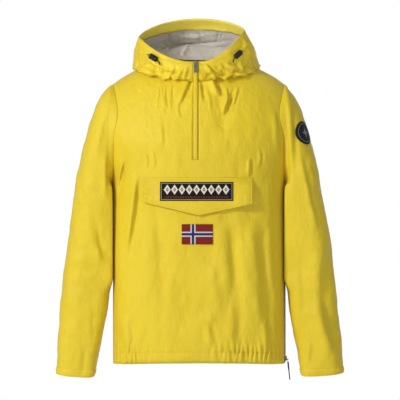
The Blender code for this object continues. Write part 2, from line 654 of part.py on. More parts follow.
def zip_points():
    """Face of the half zip: its middle is raised over the teeth."""
    path = zip_path(ZIP_ROWS)
    slope = np.gradient(path, axis=0)
    out = np.stack([np.zeros(len(path)), -slope[:, 2], slope[:, 1]], -1)
    out /= np.linalg.norm(out, axis=-1, keepdims=True)
    columns = [path + np.array([ZIP_HALF_WIDTH * at, 0, 0]) + out * ZIP_RAISE * high
               for at, high in ((-1.0, 0.0), (-0.7, 1.0), (0.0, 1.15), (0.7, 1.0), (1.0, 0.0))]
    return np.stack(columns, axis=1)


def side_zip_points(rows):
    """Face of the side zip, which lies over the left side seam from the hem up."""
    z = (hem_z(CENTRE_X + 0.2058) + 0.0010) * (1 - rows) + SIDE_ZIP_TOP_Z * rows
    columns = []
    for at, high in ((-1.0, 0.0), (-0.45, 0.4), (0.45, 0.4), (1.0, 0.0)):
        x = CENTRE_X + ease(BODY["z"], BODY["half_width"], z) + LINING + LIFT + ZIP_RAISE * high
        columns.append(np.stack([x, np.full_like(z, SIDE_ZIP_HALF_WIDTH * at), z], -1))
    return np.stack(columns, axis=1)


def build_body(yellow):
    heart = np.array([0.0, 0.0, -0.35])
    slot = FRONT_SPANS[RIGHT]
    first_open = int(np.searchsorted(FRONT_ROWS, ZIP_ROW - 1e-6))
    opening = {(row, slot) for row in range(first_open, len(FRONT_ROWS) - 1)}
    cloth("front", panel(FRONT), heart, yellow, left_out=opening)
    cloth("back", panel(BACK), heart, yellow)


SLEEVE_REACHES = np.array([
    0.0, 0.018, 0.05, 0.09, 0.135, 0.19, 0.25, 0.31, 0.37, 0.43, 0.49, 0.55, 0.61, 0.67, 0.74, 0.81, 0.88,
    0.94, 0.97, 1.0,
])


def sleeve_turns():
    """Turns of a sleeve's columns, which meet the rows of the front and of the back at the armhole."""
    front, back = (np.arccos(1 - 2 * rows[rows >= 0]) / (2 * np.pi) for rows in (FRONT_ROWS, BACK_ROWS))
    return np.concatenate([front, 1 - back[::-1][1:-1]])


def build_sleeves(yellow):
    for side, name in ((RIGHT, "sleeve_right"), (LEFT, "sleeve_left")):
        turns = sleeve_turns()
        points = sleeve(side, turns, SLEEVE_REACHES)
        heart = points.mean(axis=1, keepdims=True)
        cloth(name, points, heart, yellow, closed=True)


HOOD_SHARES = np.array([0.0, 0.11, 0.21, 0.30, 0.39, 0.47, 0.55, 0.66, 0.77])


def hood_turns(side):
    """Turns of the hood's columns: those of the front's and the back's neckline on that side."""
    front = round(FRONT_SPANS[side] * NECK_SHARE)
    back = round(BACK_SPANS[side] * NECK_SHARE)
    return np.concatenate([np.linspace(0, 0.5, front + 1), np.linspace(0.5, 1, back + 1)[1:]])


def ring_points(inset=0.0):
    """Points all round the hood from the zip's right edge by the back to its left edge, moved in by inset."""
    halves = {}
    for side in (RIGHT, LEFT):
        turns = hood_turns(side)
        columns = [hood(side, turns[i:i + 1], shares)[:, 0] for i, shares in enumerate(hood_rows(turns).T)]
        halves[side] = np.stack(columns, axis=1)
    points = np.concatenate([halves[RIGHT], halves[LEFT][:, ::-1][:, 1:]], axis=1)
    found, _ = outward(points, HOOD_HEART)
    return points - found * inset


LINING_SHARES = np.array([0.0, 0.22, 0.40, 0.475, 0.55, 0.66, 0.82, 1.0])


def lining_points(facing_edge):
    """Points of the lining all round, from inside the neck seam up to the facing's lower edge."""
    halves = {}
    for side in (RIGHT, LEFT):
        turns = hood_turns(side)
        rows = [dict(zip(LINING_LOOPS, row)) for row in zip(*LINING_LOOPS.values())]
        halves[side] = np.stack([hood_loop(side, row, turns) for row in rows])
    keys = np.concatenate([halves[RIGHT], halves[LEFT][:, ::-1][:, 1:]], axis=1)
    keys = np.concatenate([keys, facing_edge[None]])
    return ease(np.concatenate([LINING_LOOPS["share"], [1.0]]), keys, LINING_SHARES)


def hood_rows(turns):
    """Shares of the hood's rows at each turn: the last two are the facing's edge and the rim."""
    lower = np.broadcast_to(HOOD_SHARES[:, None], (len(HOOD_SHARES), len(turns)))
    edge = facing_share(turns)
    return np.concatenate([lower, edge[None], (1 + edge[None]) / 2, np.ones_like(edge)[None]])


def build_hood(yellow, mesh_grey):
    right_turns, left_turns = hood_turns(RIGHT), hood_turns(LEFT)
    right_seam = int(np.argmin(np.abs(right_turns - CROWN_SEAM[RIGHT])))
    from_left = int(np.argmin(np.abs(left_turns - CROWN_SEAM[LEFT])))
    left_seam = len(right_turns) + len(left_turns) - 2 - from_left
    shell = ring_points()
    inside = ring_points(LINING_INSET)
    edge = len(HOOD_SHARES)
    tucked = ring_points(LINING_INSET + LINING + LIFT)
    lining = lining_points(tucked[edge])
    facing = part_seams(inside[edge:].swapaxes(0, 1)).swapaxes(0, 1)
    last_column = shell.shape[1] - 1
    pieces = (("right", 0, right_seam), ("crown", right_seam, left_seam), ("left", left_seam, last_column))
    for name, first, last in pieces:
        cloth(f"hood_{name}", part_seams(shell[:, first:last + 1]), HOOD_HEART, yellow)
        part = part_seams(lining[:, first:last + 1])
        cloth(f"hood_lining_{name}", part, HOOD_HEART, mesh_grey, wall=LINING)
    cloth("hood_facing", facing, HOOD_HEART, yellow, wall=LINING)


def trim(name, points, finish, wall=TRIM, heart=(0.0, 0.0, -0.3), **options):
    """A piece that lies on another, with its wall towards it."""
    return cloth(name, points, np.array(heart), finish, wall=wall, **options)


def build_trims(yellow, black, flag_red):
    even = np.linspace
    trim("pocket_flap", flap_points(even(0, 1, 13), np.array([0.0, 0.12, 0.4, 0.7, 1.0])), yellow, wall=CLOTH)
    trim("flap_label", label_points(even(0, 1, 9), even(0, 1, 3)), black)
    trim("flag_patch", flag_points(even(0, 1, 5), even(0, 1, 3)), flag_red)
    spokes = even(0, 2 * math.pi, 21)[:-1]
    trim("sleeve_badge", badge_points(np.array([0.4, 0.72, 1.0]), spokes), black, heart=SLEEVE_HEART,
         closed=True, capped=True)
    trim("front_zip", zip_points(), yellow, wall=CLOTH, heart=(0.0, 0.0, -0.1))
    trim("side_zip", side_zip_points(even(0, 1, 8)), black, wall=LINING)


# Hardware

def new_shape(name, finish, make):
    """An object whose mesh is made by make(shape) in a bmesh."""
    mesh = bpy.data.meshes.new(name)
    shape = bmesh.new()
    make(shape)
    shape.to_mesh(mesh)
    shape.free()
    return add_object(name, mesh, finish)


def block(name, size, centre, finish, bevel=0.0, segments=2):
    """A box with rounded edges."""
    def make(shape):
        bmesh.ops.create_cube(shape, size=1.0)
        sized = Matrix.Translation(centre) @ Matrix.Diagonal((*size, 1.0))
        bmesh.ops.transform(shape, matrix=sized, verts=shape.verts)
        if bevel:
            edges = shape.edges[:]
            bmesh.ops.bevel(shape, geom=edges, offset=bevel, segments=segments, profile=0.5, affect="EDGES")
    return new_shape(name, finish, make)


def rod(name, radius, length, centre, axis, finish, sides=16, bevel=0.0):
    """A round bar along x, y or z, its ends rounded by bevel."""
    right_angle = math.pi / 2
    turns = {
        "x": Matrix.Rotation(right_angle, 4, "Y"),
        "y": Matrix.Rotation(right_angle, 4, "X"),
        "z": Matrix(),
    }

    def make(shape):
        bmesh.ops.create_cone(
            shape, cap_ends=True, segments=sides, radius1=radius, radius2=radius, depth=length,
            matrix=Matrix.Translation(centre) @ turns[axis],
        )
        if bevel:
            rims = [edge for edge in shape.edges if any(len(face.verts) > 4 for face in edge.link_faces)]
            bmesh.ops.bevel(shape, geom=rims, offset=bevel, segments=1, profile=0.5, affect="EDGES")
        for face in shape.faces:
            face.smooth = len(face.verts) == 4
    return new_shape(name, finish, make)


def combine(thing, other, operation):
    """Adds another shape to this one, or cuts it out."""
    home = bpy.data.collections["anorak"]
    home.objects.unlink(other)
    bpy.data.collections["cutters"].objects.link(other)
    other.hide_render = True
    other.display_type = "WIRE"
    step = thing.modifiers.new(other.name, "BOOLEAN")
    step.operation = operation
    step.solver = "EXACT"
    step.object = other


def place_all(things, place):
    for thing in things:
        thing.data.transform(place)


def build_slider(name, place, finish):
    """A zip slider: its body, two cheeks on its face and the pin across them.

    Out of the cloth is local -y.
    """
    face = -LIFT - SLIDER_HEIGHT
    size = (SLIDER_WIDTH, SLIDER_HEIGHT, SLIDER_LENGTH)
    body = block(name, size, (0, face + SLIDER_HEIGHT / 2, 0), finish, 0.0009)
    parts = []
    deep = PIN_STANDS + 0.0010
    for side, end in ((-1, "right"), (1, "left")):
        centre = (side * (CHEEK_APART + CHEEK_WIDTH) / 2, face - deep / 2 + 0.0004, -PIN_DROP)
        parts.append(block(f"{name}_cheek_{end}", (CHEEK_WIDTH, deep + 0.0008, 0.0030), centre, finish))
    pin = (0, face - PIN_STANDS, -PIN_DROP)
    parts.append(rod(f"{name}_pin", PIN_RADIUS, CHEEK_APART + CHEEK_WIDTH, pin, "x", finish, sides=10))
    place_all([body, *parts], place)
    for part in parts:
        combine(body, part, "UNION")


def pin_place(place):
    """Where a slider's pin is: the axis its tab swings on."""
    return place @ Matrix.Translation((0, -LIFT - SLIDER_HEIGHT - PIN_STANDS, -PIN_DROP))


def build_tab(name, place, finish, link, reach, lean=0.0):
    """A tab hanging from a pin: an eye round the pin, a link and a flat grip. Its origin is on the pin."""
    turn = place.to_3x3().to_4x4() @ Matrix.Rotation(math.radians(-lean), 4, "X")
    grip = block(name, (TAB_WIDTH, TAB_THICKNESS, reach - link), (0, 0, -(reach + link) / 2), finish, 0.0006)
    eye = rod(f"{name}_eye", EYE_OUTER, 0.0030, (0, 0, 0), "x", finish, sides=14)
    neck = block(f"{name}_link", (0.0028, TAB_THICKNESS * 0.9, link), (0, 0, -link / 2 - 0.0012), finish)
    bore = rod(f"{name}_bore", EYE_INNER, 0.0060, (0, 0, 0), "x", finish, sides=14)
    place_all([grip, eye, neck, bore], turn)
    for thing, operation in ((neck, "UNION"), (eye, "UNION"), (bore, "DIFFERENCE")):
        combine(grip, thing, operation)
    for thing in (grip, eye, neck, bore):
        thing.location = place.translation


def lock_place(side):
    """A cord lock's frame: its bore along local x towards the zip, out of the hood along local -y."""
    turn, share = LOCK_PLACES[side]
    step = 0.002
    middle, along, up = (
        hood(side, np.array([turn + more_turn]), np.array([share + more_share]))[0, 0]
        for more_turn, more_share in ((0, 0), (-step, 0), (0, step))
    )
    along = Vector(along - middle).normalized()
    out = along.cross(Vector(up - middle)).normalized()
    if out.y > 0:
        out.negate()
    turned = Matrix((along, -out, along.cross(-out))).transposed().to_4x4()
    swing = Matrix.Rotation(math.radians(LOCK_SWING[side]) * -side, 4, "Y")
    return Matrix.Translation(middle) @ turned @ swing


def build_locks(black_cloth, black):
    """Each lock is a barrel the cord runs through, with its button fused to it."""
    bore_at = (0, -LOCK_HIGH, 0)
    for side, name in ((RIGHT, "hood_lock_right"), (LEFT, "hood_lock_left")):
        place = lock_place(side)
        barrel = rod(name, LOCK_RADIUS, LOCK_LENGTH, bore_at, "x", black, sides=12, bevel=0.0012)
        pressed = (0, -LOCK_HIGH - 0.0052, 0)
        button = rod(
            f"{name}_button", BUTTON_RADIUS, BUTTON_HEIGHT, pressed, "y", black, sides=10, bevel=0.0008
        )
        bore = rod(f"{name}_bore", LOCK_BORE, LOCK_LENGTH * 1.4, bore_at, "x", black, sides=10)
        place_all([barrel, button, bore], place)
        combine(barrel, button, "UNION")
        combine(barrel, bore, "DIFFERENCE")
        cord(name.replace("lock", "cord"), cord_route(side, place), black_cloth)


def cord_route(side, place):
    """Points of a cord: straight out of the hood beside the rim, over into the lock, and down to its
    free end."""
    turn, share = LOCK_PLACES[side]
    step = 0.002
    middle, beside = (hood(side, np.array([at]), np.array([share]))[0, 0] for at in (turn, turn + step))
    turn = turn + CORD_EXIT / (np.linalg.norm(beside - middle) / step)
    leaves, round_it, up_it = (
        hood(side, np.array([turn + more_turn]), np.array([share + more_share]))[0, 0]
        for more_turn, more_share in ((0, 0), (step, 0), (0, step))
    )
    out = np.cross(round_it - leaves, up_it - leaves)
    out *= (-1 if out[1] > 0 else 1) / np.linalg.norm(out)
    in_lock = [
        (-0.0140, 0.0012, 0.0), (-0.0100, 0.0, 0.0), (0.0, 0.0, 0.0), (0.0100, 0.0, 0.0),
        (0.0150, 0.0, 0.0010), (0.0195, 0.0004, 0.0034), (0.0232, 0.0008, 0.0068),
    ]
    keys = [leaves + out * 0.0003, leaves + out * 0.0030]
    keys += [np.array(place @ Vector((x, back - LOCK_HIGH, side * down))) for x, back, down in in_lock]
    keys = np.stack(keys)
    run = np.concatenate([[0.0], np.cumsum(np.linalg.norm(np.diff(keys, axis=0), axis=1))])
    between = np.linspace(0.0, run[-1], CORD_POINTS)
    return ease(run, keys, between)


def cord(name, points, finish):
    curve = bpy.data.curves.new(name, "CURVE")
    curve.dimensions = "3D"
    curve.bevel_depth = CORD_RADIUS
    curve.bevel_resolution = 2
    curve.use_fill_caps = True
    spline = curve.splines.new("POLY")
    spline.points.add(len(points) - 1)
    for knot, point in zip(spline.points, points):
        knot.co = (*point, 1.0)
    return add_object(name, curve, finish)


def build_hardware(black_cloth, black, metal):
    near = zip_path(np.linspace(0.8, 1.0, 41))
    beside = near[np.abs(near[:, 2] - FRONT_SLIDER_Z) < SLIDER_LENGTH / 2 + 0.001]
    front = Matrix.Translation((ZIP_X, float(beside[:, 1].min()) - ZIP_RAISE * 1.15, FRONT_SLIDER_Z))
    build_slider("front_zip_slider", front, metal)
    build_tab("front_zip_tab", pin_place(front), metal, link=0.0045, reach=FRONT_TAB_REACH)
    side_x = float(side_zip_points(np.linspace(0, 1, 8))[..., 0].max())
    side = Matrix.Translation((side_x, 0, SIDE_SLIDER_Z)) @ Matrix.Rotation(math.pi / 2, 4, "Z")
    build_slider("side_zip_slider", side, black)
    hang = {"link": SIDE_PULL_LINK, "reach": SIDE_PULL_REACH, "lean": SIDE_PULL_LEAN}
    build_tab("side_zip_pull", pin_place(side), black, **hang)
    build_locks(black_cloth, black)


def part_seams(points):
    """Moves a piece's first and last columns in by half a seam, towards their neighbours."""
    points = points.copy()
    for edge, beside in ((0, 1), (-1, -2)):
        step = points[:, beside] - points[:, edge]
        points[:, edge] += step / np.linalg.norm(step, axis=-1, keepdims=True) * SEAM / 2
    return points


def main():
    for thing in list(bpy.data.objects):
        bpy.data.objects.remove(thing, do_unlink=True)
    for name in ("anorak", "cutters"):
        bpy.context.scene.collection.children.link(bpy.data.collections.new(name))
    yellow = material("shell_cloth", YELLOW, 0.6)
    mesh_grey = material("lining_mesh", GREY_MESH, 0.8)
    build_body(yellow)
    build_sleeves(yellow)
    build_hood(yellow, mesh_grey)
    black_cloth = material("black_cloth", BLACK, 0.7)
    build_trims(yellow, black_cloth, material("flag_cloth", FLAG_RED, 0.7))
    black_plastic = material("black_plastic", BLACK, 0.4)
    build_hardware(black_cloth, black_plastic, material("zip_metal", METAL, 0.35, 1.0))


main()
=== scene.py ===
"""Dresses a hooded pull-on anorak: cloth panels with their folds and seams, a mesh-lined hood, zips and trims.

Metres, +Z up, front towards -Y, the wearer's left at +X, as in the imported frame.
"""

import logging
import math
from dataclasses import dataclass, field
from enum import Enum
from typing import Callable, ClassVar, Iterable, Sequence

import bpy
import numpy as np
from mathutils import Matrix, Vector


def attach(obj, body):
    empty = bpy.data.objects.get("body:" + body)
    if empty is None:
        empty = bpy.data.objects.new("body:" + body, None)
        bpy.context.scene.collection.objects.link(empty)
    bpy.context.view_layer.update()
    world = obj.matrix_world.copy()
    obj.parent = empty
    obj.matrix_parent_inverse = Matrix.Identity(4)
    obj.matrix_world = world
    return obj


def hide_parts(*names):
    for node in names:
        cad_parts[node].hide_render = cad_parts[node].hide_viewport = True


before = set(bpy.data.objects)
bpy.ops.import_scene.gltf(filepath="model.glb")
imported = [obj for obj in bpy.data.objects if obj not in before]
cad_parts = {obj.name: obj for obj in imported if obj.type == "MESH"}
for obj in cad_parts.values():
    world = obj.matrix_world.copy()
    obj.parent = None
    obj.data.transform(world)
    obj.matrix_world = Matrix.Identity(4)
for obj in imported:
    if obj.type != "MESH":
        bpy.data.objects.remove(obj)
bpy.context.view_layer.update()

Array = np.ndarray
Table = dict[str, Array]
Colour = tuple[float, float, float]
Key = tuple[float, float]
Spot = tuple[float, float, float]
Socket = bpy.types.NodeSocket

LOG = logging.getLogger("anorak")
BODY = "garment"
WALL = 0.0008  # thickness of the panels as they are seen
TRIM_WALL = 0.0006  # the same for the hood, the flap and the covered zip
LINING_WALL = 0.0005  # for the lining
PATCH_WALL = 0.0004  # and for tapes and patches
ROLLED = 3  # lines of points that a turned edge adds
TINY = 1e-12  # lengths below this count as none
FOLD = "x0 z0 x1 z1 x2 z2 rise gentle steep trough"  # columns of a table of folds, in millimetres


class Sign(float, Enum):
    """One of two opposite sides, as the sign of a coordinate."""

    @property
    def word(self) -> str:
        """Its name in small letters, as in the names of columns and pieces."""
        return self.name.lower()


class Side(Sign):
    """The wearer's sides, as the sign of x."""

    RIGHT = -1.0
    LEFT = 1.0


class Face(Sign):
    """The two body panels, as the sign of y."""

    FRONT = -1.0
    BACK = 1.0


class Slot(str, Enum):
    """Names of material slots."""

    SHELL = "shell_cloth"
    LINING = "lining_mesh"
    BLACK_CLOTH = "black_cloth"
    BLACK_PLASTIC = "black_plastic"
    FLAG = "flag_cloth"


class Edge(Enum):
    """Edges of a grid of points: whether it is a column, and whether it comes last."""

    FIRST_ROW = (False, False)
    LAST_ROW = (False, True)
    FIRST_COLUMN = (True, False)
    LAST_COLUMN = (True, True)

    def first(self, grid: Array) -> Array:
        """Turns a grid so that this edge is its first row."""
        column, last = self.value
        grid = grid.swapaxes(0, 1) if column else grid
        return grid[::-1] if last else grid

    def back(self, grid: Array) -> Array:
        """Turns such a grid back again."""
        column, last = self.value
        grid = grid[::-1] if last else grid
        return grid.swapaxes(0, 1) if column else grid


# Curves, blends and noise


def table(columns: str, rows: str, per_metre: float = 1.0) -> Table:
    """Names the columns of a short table.

    Args:
        columns: The names, with spaces between them.
        rows: The rows, with semicolons between them.
        per_metre: How many of its units make a metre.

    Returns:
        Each column as an array, in metres.
    """
    values = np.array([row.split() for row in rows.split(";")], float)
    return dict(zip(columns.split(), (values / per_metre).T))


def tables(keys: Iterable[object], columns: str, *rows: str, per_metre: float = 1.0) -> dict[object, Table]:
    """Names the columns of several such tables, one for each key."""
    return {key: table(columns, each, per_metre) for key, each in zip(keys, rows)}


def named_rows(values: Table) -> list[dict[str, float]]:
    """Turns a table into a list of its rows."""
    return [dict(zip(values, row)) for row in zip(*values.values())]


def ease(stations: Array, values: Array, at: Array) -> Array:
    """Runs a smooth curve through values, which never passes beyond them.

    Each span is a cubic whose end slopes are the harmonic mean of the rises on either side.

    Args:
        stations: Where the values lie, rising.
        values: Numbers or points, one per station.
        at: Where to read the curve.

    Returns:
        The curve's values.
    """
    stations, values, at = (np.asarray(each, float) for each in (stations, values, at))
    at = np.clip(at, stations[0], stations[-1])
    wide = (slice(None),) + (None,) * (values.ndim - 1)
    steps = np.diff(stations)
    rises = np.diff(values, axis=0) / steps[wide]
    product = rises[:-1] * rises[1:]
    total = np.where(product > 0, rises[:-1] + rises[1:], 1.0)
    slopes = np.concatenate([rises[:1], np.where(product > 0, 2 * product / total, 0.0), rises[-1:]])
    span = np.clip(np.searchsorted(stations, at, side="right") - 1, 0, len(steps) - 1)
    across = at.shape + (1,) * (values.ndim - 1)
    t = ((at - stations[span]) / steps[span]).reshape(across)
    step = steps[span].reshape(across)
    return (
        (1 + 2 * t) * (1 - t) ** 2 * values[span]
        + t * (1 - t) ** 2 * step * slopes[span]
        + t**2 * (3 - 2 * t) * values[span + 1]
        + t**2 * (t - 1) * step * slopes[span + 1]
    )


def smooth(low: float | Array, high: float | Array, at: Array) -> Array:
    """Gives 0 below low, 1 above high and an S between them; with low above high, the other way round."""
    t = np.clip((at - low) / (high - low), 0.0, 1.0)
    return t * t * (3 - 2 * t)


def hump(at: Array, middle: float | Array, half_width: float | Array) -> Array:
    """Gives a soft hump, 1 at the middle: e to the minus square of the distance over the half width."""
    return np.exp(-(((at - middle) / half_width) ** 2))


def cloth_noise(points: Array, size: float | Sequence[float], seed: int) -> Array:
    """Smooth bumps with no pattern to them.

    Each corner of a lattice gets a number from its whole coordinates, and places between take a mix of
    the eight corners round them.

    Args:
        points: Places, with x, y and z last.
        size: Lattice step in metres, one for all or one for each axis.
        seed: Picks another set of bumps.

    Returns:
        Numbers from -1 to 1.
    """
    cell = points / np.asarray(size, float) + 17.3 * seed
    base = np.floor(cell).astype(np.int64)
    share = cell - base
    share = share * share * (3 - 2 * share)
    total = np.zeros(points.shape[:-1])
    for corner in np.ndindex(2, 2, 2):
        corner = np.array(corner)
        mixed = (base + corner) * np.array([73856093, 19349663, 83492791])
        code = (mixed[..., 0] ^ mixed[..., 1] ^ mixed[..., 2]) + 974711 * seed
        code = (code * 1103515245 + 12345) & 0x7FFFFFFF
        code = ((code >> 7) * 1103515245 + 12345) & 0x7FFFFFFF
        value = (code >> 9 & 0xFFFF) / 32767.5 - 1.0
        total += value * np.prod(np.where(corner == 1, share, 1 - share), axis=-1)
    return total


def layered_noise(points: Array, size: float | Sequence[float], seed: int, layers: int = 3) -> Array:
    """Adds finer and weaker layers of cloth noise, each half the size of the one before."""
    total = np.zeros(points.shape[:-1])
    for layer in range(layers):
        total += cloth_noise(points, np.asarray(size, float) / 2**layer, seed + layer) / 1.8**layer
    return total


def soft_folds(folds: Table, x: Array, z: Array) -> Array:
    """Depth of a set of folds: a soft trough along each line, fading at its ends.

    Args:
        folds: Columns top_x, top_z, low_x, low_z, half_width and depth.
        x: First coordinate of each place.
        z: Second coordinate of each place.

    Returns:
        Depth into the cloth, in metres.
    """
    depth = np.zeros(np.broadcast_shapes(np.shape(x), np.shape(z)))
    for fold in named_rows(folds):
        run_x, run_z = fold["low_x"] - fold["top_x"], fold["low_z"] - fold["top_z"]
        length = math.hypot(run_x, run_z)
        along = ((x - fold["top_x"]) * run_x + (z - fold["top_z"]) * run_z) / length**2
        aside = ((x - fold["top_x"]) * run_z - (z - fold["top_z"]) * run_x) / length
        fade = smooth(-0.12, 0.22, along) * smooth(-0.12, 0.22, 1 - along)
        depth = depth + fold["depth"] * fade * hump(aside, 0.0, fold["half_width"])
    return depth


def raised_folds(rows: Table, x: Array, z: Array, samples: int = 17) -> Array:
    """Height of a set of folds, each a crest along a bent line with one flank gentle and the other steep.

    A line runs from its first point past its middle one to its last as a quadratic curve. Beside it the
    height falls off as e to the minus square of the distance over the reach of that flank, with a trough
    beyond the steep flank, which lies on the left of the line's way. Both ends taper off.

    Args:
        rows: Columns x0, z0, x1, z1, x2, z2, rise, gentle, steep and trough.
        x: First coordinate of each place.
        z: Second coordinate of each place.
        samples: Points the curve is read at.

    Returns:
        Height out of the cloth, in metres.
    """
    place = np.stack(np.broadcast_arrays(x, z), -1)
    height = np.zeros(place.shape[:-1])
    share = np.linspace(0.0, 1.0, samples)[:, None]
    for row in named_rows(rows):
        ends = [np.array([row[f"x{number}"], row[f"z{number}"]]) for number in range(3)]
        line = (1 - share) ** 2 * ends[0] + 2 * share * (1 - share) * ends[1] + share**2 * ends[2]
        reach = 3 * max(row["gentle"], row["steep"])
        near = np.all((place > line.min(axis=0) - reach) & (place < line.max(axis=0) + reach), axis=-1)
        if not near.any():
            continue
        spot = place[near][:, None]
        run = line[1:] - line[:-1]
        along = np.clip(((spot - line[:-1]) * run).sum(-1) / (run * run).sum(-1), 0.0, 1.0)
        gap = spot - (line[:-1] + along[..., None] * run)
        far = np.sqrt((gap * gap).sum(-1))
        best = far.argmin(axis=1)
        every = np.arange(len(best))
        left_of = np.sign(run[best, 0] * gap[every, best, 1] - run[best, 1] * gap[every, best, 0])
        aside = left_of * far[every, best]
        at = (best + along[every, best]) / (samples - 1)
        fade = smooth(-0.02, 0.34, at) * smooth(-0.02, 0.34, 1 - at)
        crest = hump(aside, 0.0, np.where(aside < 0, row["gentle"], row["steep"]))
        trough = row["trough"] * hump(aside, 1.7 * row["steep"], 1.1 * row["steep"])
        height[near] += fade * (row["rise"] * crest - trough)
    return height


# Forms


